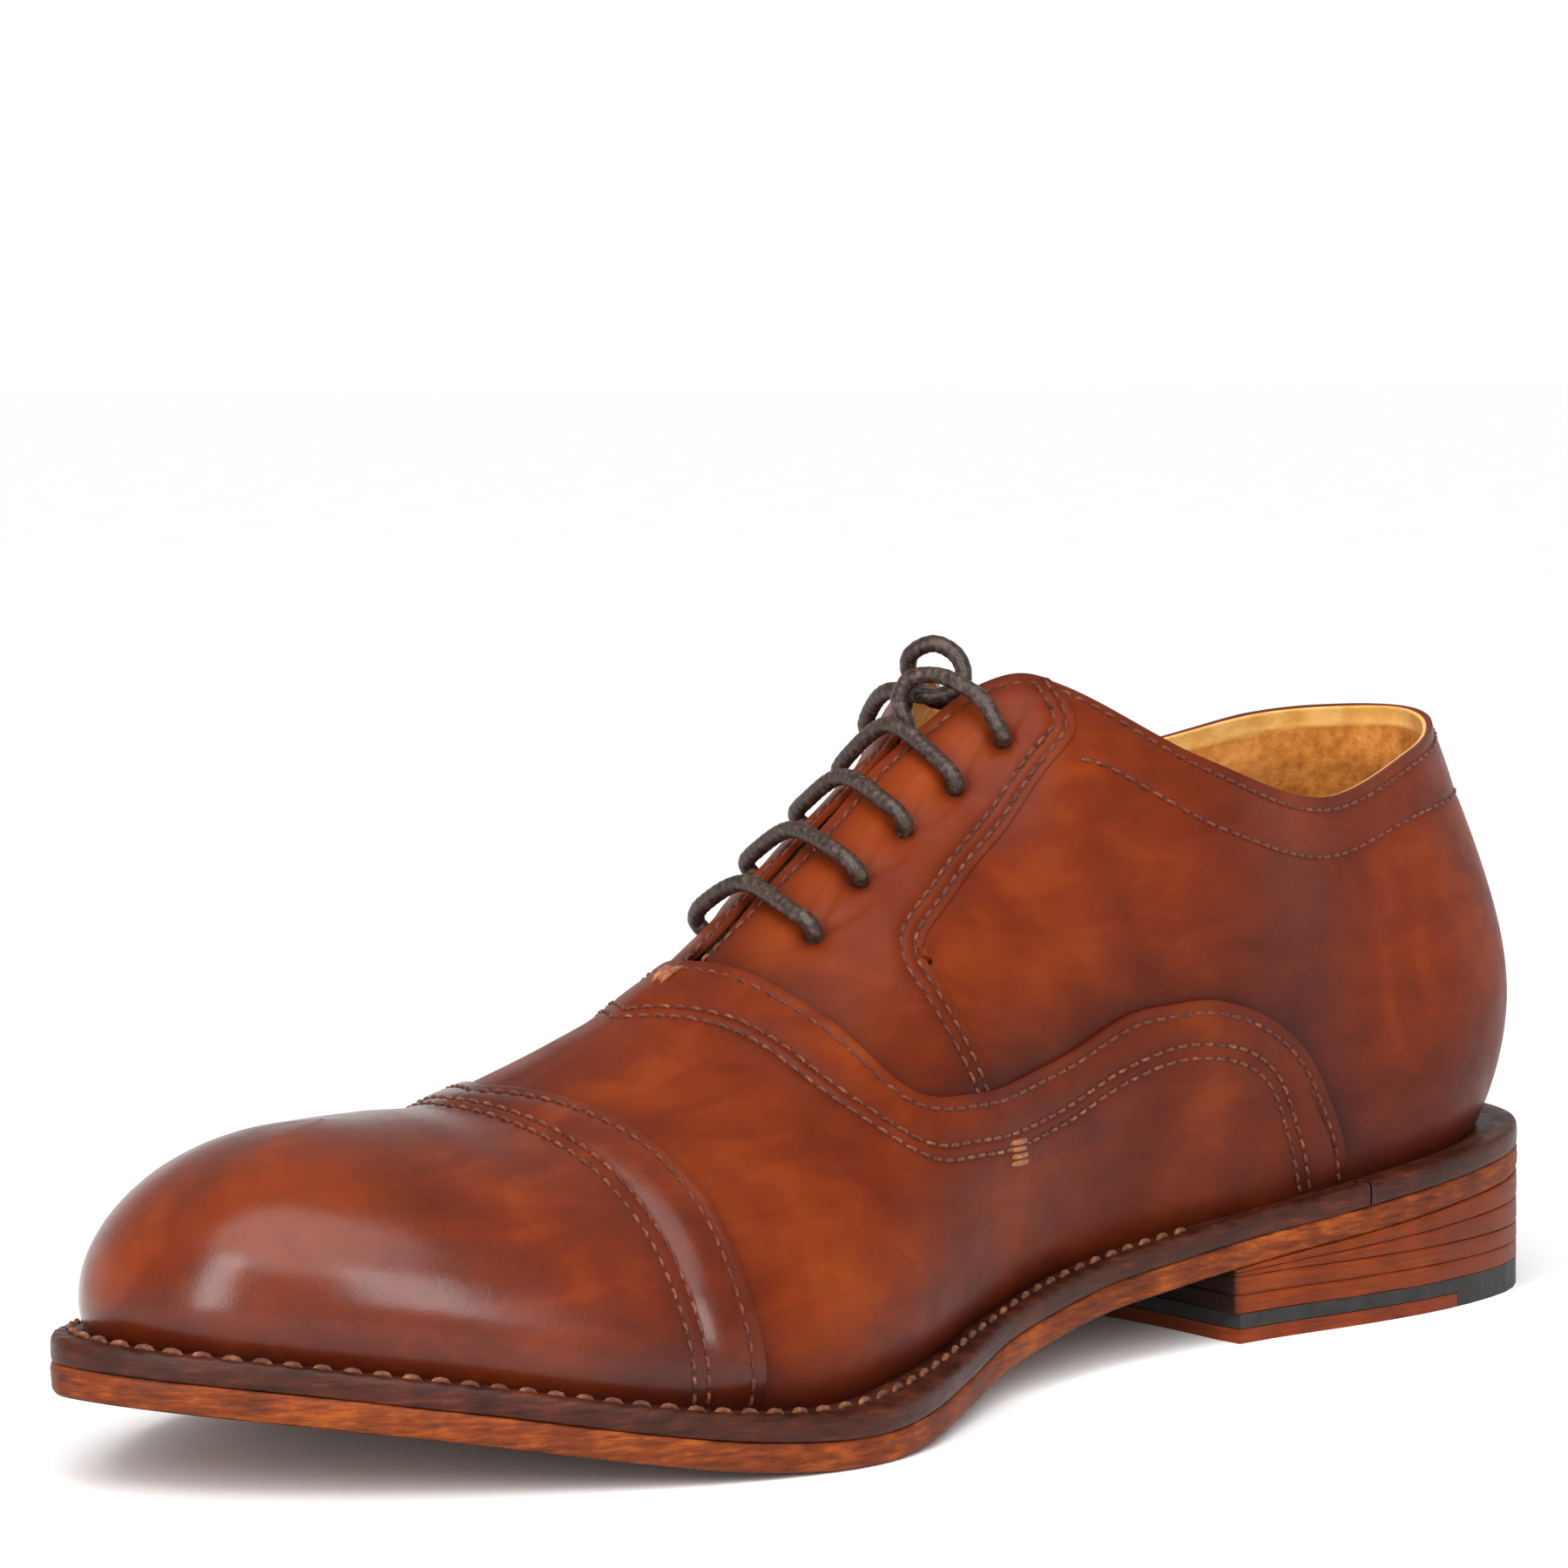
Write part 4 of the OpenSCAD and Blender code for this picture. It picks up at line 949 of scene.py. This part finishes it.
def vamp():
    """From one waved edge over the ridge to the other, and forward to just under the toe cap."""
    w = np.linspace(0, 1, 100)
    edge = on_curve(VAMP_EDGE, w)
    stitch = on_curve(VAMP_STITCH, w)
    front = seam_at(CAP_EDGE, w) + 0.25
    rows = [edge + (stitch - edge) * f for f in np.linspace(0, 1, 9)[:-1]]
    # From the double row on, each line keeps its share of the height under that row, so that no two cross
    share = stitch[1:, 1] / w[1:]
    for f in np.linspace(0, 1, 64):
        s = stitch[:, 0] + (front - stitch[:, 0]) * f
        rows.append(np.column_stack([s, w * np.interp(s, stitch[1:, 0], share)]))
    half = np.array(rows)
    grid = np.concatenate([with_hem(half, HEM), mirrored_across(half)], axis=1)
    upper_piece("vamp_leather", "vamp", grid, vamp_lap, upper_leather)


def mirrored_across(half):
    """The inner half of a grid whose columns rise to the ridge, without the ridge column, going back down."""
    other = half[:, -2::-1].copy()
    other[..., 0] = AROUND - other[..., 0]
    hem = other[:, -1:].copy()
    hem[..., 1] = -HEM
    return np.concatenate([other, hem], axis=1)


def quarters():
    grid = patch(QUARTER_BOTTOM, QUARTER_TOP, np.array([[0.0, 0], [0.0, 1]]), QUARTER_FRONT, 120, 90)
    grid[..., 1] = np.clip(grid[..., 1], 0, 1)
    grid = with_hem(grid, HEM)
    for name, node, g in (("outer_quarter_leather", "outer_quarter", grid),
                          ("inner_quarter_leather", "inner_quarter", mirrored(grid))):
        upper_piece(name, node, g, under_vamp(g, no_lap), upper_leather, quarter_side=True)


def facings():
    grid = patch(FACING_BOTTOM, FACING_TOP, FACING_REAR, FACING_FRONT, 70, 90)
    grid[..., 1] = np.clip(grid[..., 1], 0, 1)
    for name, node, g in (("outer_facing_leather", "outer_facing", grid),
                          ("inner_facing_leather", "inner_facing", mirrored(grid))):
        upper_piece(name, node, g, under_vamp(g, facing_lap), upper_leather, quarter_side=True)


def linings():
    """Linings of the quarters, with a smooth strip of leather along the top line."""
    grid = patch(
        np.array([[0.0, 0.02], [6.3, 0.02]]), np.array([[0.0, 1], [4, 1], [6, 1], [7.85, 0.97]]),
        np.array([[0.0, 0.02], [0.0, 1]]), np.array([[6.3, 0.02], [7.85, 0.97]]), 130, 80)
    for name, node, g in (("outer_lining", "outer_quarter_lining", grid),
                          ("inner_lining", "inner_quarter_lining", mirrored(grid))):
        s, h = g[..., 0], np.clip(g[..., 1], 0, 1)
        p, normals = surface(s, h)
        below = nearest(p, top_points)
        depth = LEATHER + 0.02 + (LINING_DEPTH - LEATHER) * smooth_step((below - 1) / 10)
        creases = 0.25 * wobble(p * 1.7) + 0.15 * np.sin(p[..., 0] / 3.1) * np.sin(p[..., 2] / 4.3)
        strip = 1 - smooth_step((below - STRIP_WIDTH) / 0.6)
        raised = -depth + creases * (1 - strip)
        piece = leather_sheet(name, p, raised, normals, LINING, lining_leather, "shoe", {"strip": strip})
        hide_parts(node)


def vamp_lining():
    """Lining of the forepart, from under the facings to the toe."""
    hs = np.linspace(0.02, 1, 50)
    rear = 6.34 + 1.75 * hs
    half = np.array([np.column_stack([rear + (TOE - rear) * f, hs]) for f in np.linspace(0, 1, 60)])
    grid = over_toe(half)
    p, normals = surface(grid[..., 0], grid[..., 1])
    raised = np.full(grid.shape[:2], -LINING_DEPTH)
    piece = leather_sheet("forepart_lining", p, raised, normals, LINING, lining_leather, "shoe",
                          {"strip": np.zeros(grid.shape[:2])}, weld=True)
    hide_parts("vamp_lining")


def tongue_grid(depth):
    """Points of a leaf of the tongue, a depth under its outer surface."""
    lean = math.radians(36)
    f = np.linspace(1, 0, 60)[:, None]
    w = np.linspace(-1, 1, 40)[None, :]
    r = on_curve(TONGUE, f[:, 0])[:, None, :]
    a = np.arctan(2 * r[..., 3] * w / r[..., 2])
    crumple = 0.35 * np.sin(f * 23 + w * 2) * np.sin(w * 5 + f * 4)
    d = depth + crumple
    return np.stack([
        r[..., 0] + LAST_FORWARD - d * np.sin(lean) * np.cos(a),
        w * r[..., 2] + LAST_INWARD - d * np.sin(a),
        r[..., 1] - r[..., 3] * w * w - d * np.cos(lean) * np.cos(a),
    ], -1)


def tongue():
    for name, depth, thickness, material, slot in (
            ("tongue_leather", 0.4, 1.0, tongue_leather, "upper"),
            ("tongue_lining", 1.5, 0.8, lining_leather, "lining")):
        p = tongue_grid(depth)
        normals = unit(np.cross(np.gradient(p, axis=0), np.gradient(p, axis=1)))
        normals *= np.sign(normals[..., 2:3])
        raised = np.zeros(p.shape[:2])
        shade = {"shade": np.full(p.shape[:2], 0.25)}
        piece = leather_sheet(name + "_piece", p, raised, normals, thickness, material, "tongue", shade)
        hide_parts("tongue" if slot == "upper" else "tongue_lining")


toe_cap()
toe_puff()
vamp()
quarters()
facings()
linings()
vamp_lining()
tongue()

# ---------- Stitches ----------

STITCH_PITCH = 2.8
SEAM_DEPTH = 0.26
THREAD_RADIUS = 0.3
# Each ring of a stitch: share of its length, height of its centre and its size, in radii of the thread
SPINE = ((0.1, -0.9, 0.55), (0.28, 0.3, 0.95), (0.5, 0.55, 1.05), (0.72, 0.3, 0.95), (0.9, -0.9, 0.55))


def stitch_tubes(starts, ends, normals, radius, sides=6):
    """Short threads from starts to ends that dive into the leather at both ends."""
    way = ends - starts
    length = np.linalg.norm(way, axis=1, keepdims=True)
    way = way / length
    side = unit(np.cross(normals, way))
    up = np.cross(way, side)
    rings = []
    for along, lift, swell in SPINE:
        centre = starts + way * length * along + up * radius * lift
        for k in range(sides):
            a = 2 * math.pi * k / sides
            rings.append(centre + (side * math.cos(a) + up * math.sin(a)) * radius * swell)
    verts = np.stack(rings, axis=1)
    count, per = verts.shape[:2]
    faces = []
    levels = len(SPINE)
    for r in range(levels - 1):
        for k in range(sides):
            a, b = r * sides + k, r * sides + (k + 1) % sides
            faces.append((a, b, b + sides, a + sides))
    faces.append(tuple(range(sides - 1, -1, -1)))
    faces.append(tuple(range((levels - 1) * sides, levels * sides)))
    every = [tuple(v + per * k for v in face) for k in range(count) for face in faces]
    return verts.reshape(-1, 3), every


def hole_shade_cones(centres, normals, radius, sides=7):
    """Painted shade of the needle holes: a small dark cone at each, sunk into the leather."""
    first = unit(np.cross(normals, [0.3, 0.2, 0.93]))
    second = np.cross(normals, first)
    ring = [centres + normals * 0.05 + (first * math.cos(2 * math.pi * k / sides)
            + second * math.sin(2 * math.pi * k / sides)) * radius for k in range(sides)]
    verts = np.stack(ring + [centres - normals * radius], axis=1)
    per = sides + 1
    faces = [(k, (k + 1) % sides, sides) for k in range(sides)]
    every = [tuple(v + per * c for v in face) for c in range(len(centres)) for face in faces]
    return verts.reshape(-1, 3), every


def in_channel(line, lap, pitch):
    """Points along a seam on the finished leather, in its pulled-in channel, and their normals."""
    q = resampled(line, pitch)
    h = np.clip(q[:, 1], 0, 1)
    p, normals = surface(q[:, 0], h)
    return p + normals * (lap(p, h) - SEAM_DEPTH + wobble(p))[:, None], normals


def joined(parts):
    """Vertices and faces of several parts as one."""
    verts, faces, base = [], [], 0
    for v, f in parts:
        verts.append(v)
        faces += [tuple(k + base for k in face) for face in f]
        base += len(v)
    return np.concatenate(verts), faces


def sew(name, rows, lap, material):
    """Rows of stitches, with the painted shade of their needle holes, over a piece whose lap is given."""
    threads, holes = [], []
    for row in rows:
        p, normals = in_channel(row, lap, STITCH_PITCH)
        threads.append(stitch_tubes(p[:-1], p[1:], normals[:-1], THREAD_RADIUS))
        holes.append(hole_shade_cones(p, normals, THREAD_RADIUS * 1.25))
    for part, parts, look in ((name, threads, material), (name + "_hole_shade", holes, needle_hole_shade)):
        verts, faces = joined(parts)
        add_object(part, place(verts), faces, look, "shoe")


sew("vamp_edge_stitches", vamp_edge_rows, vamp_lap, upper_thread)
sew("vamp_double_stitches", vamp_double_rows, vamp_lap, bright_thread)
sew("cap_edge_stitches", cap_edge_rows, cap_lap, upper_thread)
sew("cap_double_stitches", cap_double_rows, cap_lap, bright_thread)
sew("facing_stitches", facing_rows, facing_lap, upper_thread)
sew("top_stitches", top_rows, no_lap, upper_thread)


def tack(name, node, places, threads, length, pitch=1.1, radius=0.5):
    """Thick threads sewn side by side over the leather, each place is [section, height fraction]."""
    made = []
    for s, h in places:
        p, normal = surface(s, min(h, CREST))
        rise = np.array([0, 0, 1.0]) - normal * normal[2]
        rise = np.array([0, 1.0, 0]) if np.linalg.norm(rise) < 0.5 else rise / np.linalg.norm(rise)
        across = np.cross(normal, rise)
        if abs(normal[2]) > 0.9:
            rise, across = across, rise
        lift = normal * (vamp_lap(p, h) - 0.1)
        shift = (np.arange(threads) - (threads - 1) / 2) * pitch
        uneven = 1 + 0.12 * np.sin(2.4 * np.arange(threads) + s)
        centres = p + lift + shift[:, None] * rise
        reach = across * (length / 2) * uneven[:, None]
        made.append(stitch_tubes(centres - reach, centres + reach, np.tile(normal, (threads, 1)), radius))
    verts, faces = joined(made)
    piece = add_object(name, place(verts), faces, tack_thread, "shoe")
    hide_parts(node)


tack("throat_tack_threads", "throat_tack", [(8.2, 1)], 3, 6.5)
tack("side_tack_threads", "side_tacks", [(6.5, 0.255), (AROUND - 6.5, 0.255)], 4, 7)

# ---------- Lace ----------

# The ridges of the braid turn by this many radians in a millimetre of lace
LACE_RADIUS = 1.4
LACE_STEP = 0.36
BRAID_DEPTH = 0.075
BRAID_TURN = 2.1


def lace():
    """Round waxed lace with the fine diagonal ridges of its braid."""
    route = LACE_ROUTE / 1000
    fine = on_curve(route, np.linspace(0, 1, (len(route) - 1) * 24 + 1))
    run = run_along(fine)
    at = np.arange(0, run[-1], LACE_STEP * MM)
    centre = points_at(fine, run, at)
    way = unit(np.gradient(centre, axis=0))
    side = np.cross(way[0], [0, 1, 0])
    sides = 18
    angle = 2 * math.pi * np.arange(sides) / sides
    rings = []
    for k in range(len(centre)):
        side = side - way[k] * (side @ way[k])
        side /= np.linalg.norm(side)
        up = np.cross(way[k], side)
        mm = at[k] / MM
        braid = BRAID_DEPTH * np.sin(BRAID_TURN * mm + 4 * angle) * np.sin(BRAID_TURN * mm - 4 * angle)
        radius = (LACE_RADIUS + braid) * MM
        around = np.cos(angle)[:, None] * side + np.sin(angle)[:, None] * up
        rings.append(centre[k] + radius[:, None] * around)
    verts = np.concatenate(rings)
    faces = grid_faces(len(centre), sides, loop_columns=True)
    last = (len(centre) - 1) * sides
    faces.append(list(range(sides)))
    faces.append([last + k for k in range(sides - 1, -1, -1)])
    piece = add_object("lace_cord", verts, faces, lace_cord, "shoe")
    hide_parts("lace")


lace()

# ---------- Sole and heel ----------


def evenly_round(loop, count):
    """A closed loop as count points, evenly spaced along it."""
    closed = np.vstack([loop, loop[:1]])
    run = run_along(closed)
    return points_at(closed, run, np.linspace(0, run[-1], count, endpoint=False))


def outline_points(count):
    """The outsole's outline as [from heel, side]."""
    s = np.linspace(0, len(OUTSOLE_OUTLINE), count * 4, endpoint=False)
    return evenly_round(on_loop(OUTSOLE_OUTLINE, s), count)


def over_sole(u, h):
    """Height h above the ground side of the outsole, which curves along the shoe."""
    return sole_z(u) + h


def inset_rings(loop, height_at, h, shares):
    """Rings of a flat face, shrinking from its edge towards the line down its middle."""
    low, high = loop[:, 0].min(), loop[:, 0].max()
    margin = min(22, (high - low) * 0.35)
    u = np.clip(loop[:, 0], low + margin, high - margin)
    spine = np.column_stack([u, np.full(len(u), loop[:, 1].mean())])
    rings = []
    for f in shares:
        p = loop * (1 - f) + spine * f
        rings.append(np.column_stack([p, height_at(p[:, 0], h)]))
    return rings


def slab(name, loop, profile, height_at, material, node, rough, ink_and_shade=None):
    """A plate of sole leather: a loop swept up its side profile, closed over its bottom and its top."""
    d = unit(np.roll(loop, -1, axis=0) - np.roll(loop, 1, axis=0))
    out = np.column_stack([d[:, 1], -d[:, 0]])
    run = np.arange(len(loop))
    shares = [0.02, 0.1, 0.25, 0.45, 0.65, 0.85, 0.95]
    rings = inset_rings(loop, height_at, profile[0][1], shares[::-1])
    for k, (inset, h) in enumerate(profile):
        ripple = rough * (np.sin(run * 0.9 + k * 2.1) + np.sin(run * 0.37 + k) + np.sin(run * 2.3 + k * k))
        p = loop - out * (inset + ripple)[:, None]
        rings.append(np.column_stack([p, height_at(p[:, 0], h)]))
    rings += inset_rings(loop, height_at, profile[-1][1], shares)
    verts = np.array(rings)
    n, m = verts.shape[:2]
    faces = grid_faces(n, m, loop_columns=True)
    faces.append(list(range(m - 1, -1, -1)))
    faces.append([(n - 1) * m + k for k in range(m)])
    ink_and_shade_values = {} if ink_and_shade is None else {"ink_and_shade": np.tile(ink_and_shade, n)}
    piece = add_object(name, place(verts.reshape(-1, 3)), faces, material, "shoe", ink_and_shade_values)
    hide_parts(node)


def feather_reach(s):
    """Distance from the feather edge, straight out, to the edge of the outsole."""
    from_edge = on_loop(SECTIONS, s)[:, :2]
    out = outward(s)
    edge = outline_points(3000)
    reach = []
    for f, o in zip(from_edge, out):
        rel = edge - f
        off = np.abs(rel[:, 0] * o[1] - rel[:, 1] * o[0]) + np.where(rel @ o > 0, 0, 1e6)
        reach.append((rel @ o)[off.argmin()])
    reach = np.array(reach)
    return np.convolve(np.pad(reach, 4, "edge"), np.ones(9) / 9, "valid")


def section_at(u, side):
    """Section whose feather edge stands at a distance from the heel, near the heel on one side."""
    s = np.linspace(1, 6, 400) if side == "outer" else np.linspace(AROUND - 1, AROUND - 6, 400)
    return float(np.interp(u, on_loop(SECTIONS, s)[:, 0], s))


# Side profile of the welt: share of the way to the outsole's edge, extra reach, and height from 0 to 1
WELT_PROFILE = [
    (0, -1.5, 0.01), (1, -0.7, 0.01), (1, -0.22, 0.03), (1, -0.02, 0.09), (1, 0.05, 0.33), (1, 0.05, 0.62),
    (1, -0.05, 0.85), (1, -0.3, 0.96), (1, -0.8, 1.01), (0.66, 0, 1.01), (0.55, 0, 0.98), (0.44, 0, 0.95),
    (0.33, 0, 0.98), (0.24, 0, 1.01), (0.08, 0, 0.96), (0, -1.5, 0.87),
]
WELT_PITCH = 4.2
# Share of the welt's width at which it is stitched, and the section where the visible stitches start
WELT_CHANNEL = 0.44
STITCH_START = 4.4
# Side profile of the outsole: how far inside its outline, and height from 0 to 1
OUTSOLE_PROFILE = [
    (0.9, 0), (0.35, 0.03), (0.05, 0.12), (-0.05, 0.3), (0, 0.52), (-0.05, 0.76), (0.05, 0.9), (0.25, 0.98),
    (0.6, 1),
]


def rim(name, start, end, node, marks):
    """The welt or the rand from one section round to another; marks are the wheel marks on its top."""
    s = np.linspace(start, end, 900 if marks else 160)
    base = on_loop(SECTIONS, s)[:, :2]
    out = outward(s)
    reach = feather_reach(s)
    run = run_along(base)
    rows = []
    for k, (share, extra, height) in enumerate(WELT_PROFILE):
        p = base + out * (share * reach + extra)[:, None]
        rise = np.full(len(s), OUTSOLE + height * (FEATHER - OUTSOLE))
        if marks and height > 0.94:
            rise = rise + 0.1 * np.sin(2 * math.pi * run / WELT_PITCH) * (share > 0.2)
        rise = rise + 0.05 * np.sin(run / 5.3 + k)
        rows.append(np.column_stack([p, sole_z(p[:, 0]) + rise]))
    verts = np.array(rows)
    n, m = verts.shape[:2]
    faces = grid_faces(n, m, loop_rows=True)
    faces.append([k * m for k in range(n)])
    faces.append([k * m + m - 1 for k in range(n - 1, -1, -1)])
    piece = add_object(name, place(verts.reshape(-1, 3)), faces, welt_leather, "shoe")
    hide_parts(node)


def welt_stitches():
    fine = np.linspace(STITCH_START, AROUND - STITCH_START, 4000)
    base = on_loop(SECTIONS, fine)[:, :2]
    run = run_along(base)
    s = np.interp(np.arange(0, run[-1], WELT_PITCH), run, fine)
    p = on_loop(SECTIONS, s)[:, :2]
    out = outward(s)
    reach = feather_reach(s)
    middle = p + out * (reach * WELT_CHANNEL)[:, None]

    def lifted(q):
        return np.column_stack([q, sole_z(q[:, 0]) + FEATHER - 0.05])

    starts = lifted(middle[:-1] - out[:-1] * 0.35)
    ends = lifted(middle[1:] + out[1:] * 0.35)
    up = np.tile([0, 0, 1.0], (len(starts), 1))
    verts, faces = stitch_tubes(starts, ends, up, 0.5)
    piece = add_object("welt_thread", place(verts), faces, welt_thread, "shoe")
    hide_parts("welt_stitches")


rim("welt_strip", section_at(RAND_END, "outer"), section_at(RAND_END, "inner"), "welt", True)
rim("rand_strip", section_at(RAND_END, "inner") + 0.01, AROUND + section_at(RAND_END, "outer") - 0.01,
    "heel_rand", False)
welt_stitches()

slab("outsole_leather", outline_points(420),
     [(inset, height * (OUTSOLE - 0.02)) for inset, height in OUTSOLE_PROFILE],
     over_sole, outsole_edge, "outsole", rough=0.045)


def heel_breast(y):
    """Distance from the heel to the shallow curve of the breast."""
    return HEEL_BREAST + BREAST_RADIUS - 2 - np.sqrt(BREAST_RADIUS**2 - y**2)


def heel_loop(count=260):
    """Outline of the heel: the outsole's edge, closed by the curve of the breast."""
    q = outline_points(1600)
    behind = np.nonzero(q[:, 0] > heel_breast(q[:, 1]))[0]
    first, last = behind[0], behind[-1]
    back = np.vstack([q[last + 1:], q[:first]])
    y = np.linspace(back[-1, 1], back[0, 1], 80)[1:-1]
    arc = np.column_stack([heel_breast(y), y])
    return evenly_round(np.vstack([back, arc]), count)


LEVEL = TOP_PIECE + 2 * LIFT


def wedge(u, share):
    """Height at a share of the way from the level lifts up to the sole."""
    return LEVEL + share * (sole_z(u) - LEVEL)


def flat(u, h):
    """The same height all over."""
    return np.full(np.shape(u), h)


def lift_profile(low, high, corner, face):
    """Side profile of a lift with rounded edges: how far inside its outline, and height."""
    under = [(0.4, low), (0.1, low + corner), (0.0, low + face)]
    return under + [(0.0, high - face), (0.1, high - corner), (0.4, high)]


heel = heel_loop()
# The heel's breast is nearly black: ink, and painted shade where it lies under the waist
breast_ink_and_shade = smooth_step((heel[:, 0] - heel_breast(heel[:, 1]) + 0.8) / 0.6)
for k, (low, high) in enumerate([(0.5, 1.0), (0.0, 0.5)]):
    slab(f"heel_wedge_{k + 1}", heel, lift_profile(low, high, 0.02, 0.07),
         wedge, heel_leather, f"heel_lift_{k + 1}", rough=0.02, ink_and_shade=breast_ink_and_shade)
for k, low in enumerate([TOP_PIECE + LIFT, TOP_PIECE]):
    slab(f"heel_level_{k + 1}", heel, lift_profile(low, low + LIFT, 0.06, 0.3),
         flat, heel_leather, f"heel_lift_{k + 3}", rough=0.02, ink_and_shade=breast_ink_and_shade)

# ---------- CAD pieces that show as they are ----------

CARRIED = {
    "top_piece": heel_rubber,
    "top_piece_inlay": heel_leather,
    "sock_liner": lining_leather,
    "insole": sole_leather,
    "cork_filler": sole_leather,
    "heel_counter": sole_leather,
    "shank": metal("spring_steel", "#8f959b", 0.35),
    "heel_nails": metal("nail_steel", "#8f959b", 0.4),
    "blind_eyelets": metal("eyelet_brass", "#a8854c", 0.35),
    "aglets": lace_cord,
}
for node, material in CARRIED.items():
    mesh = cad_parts[node].data
    mesh.materials.clear()
    mesh.materials.append(material)
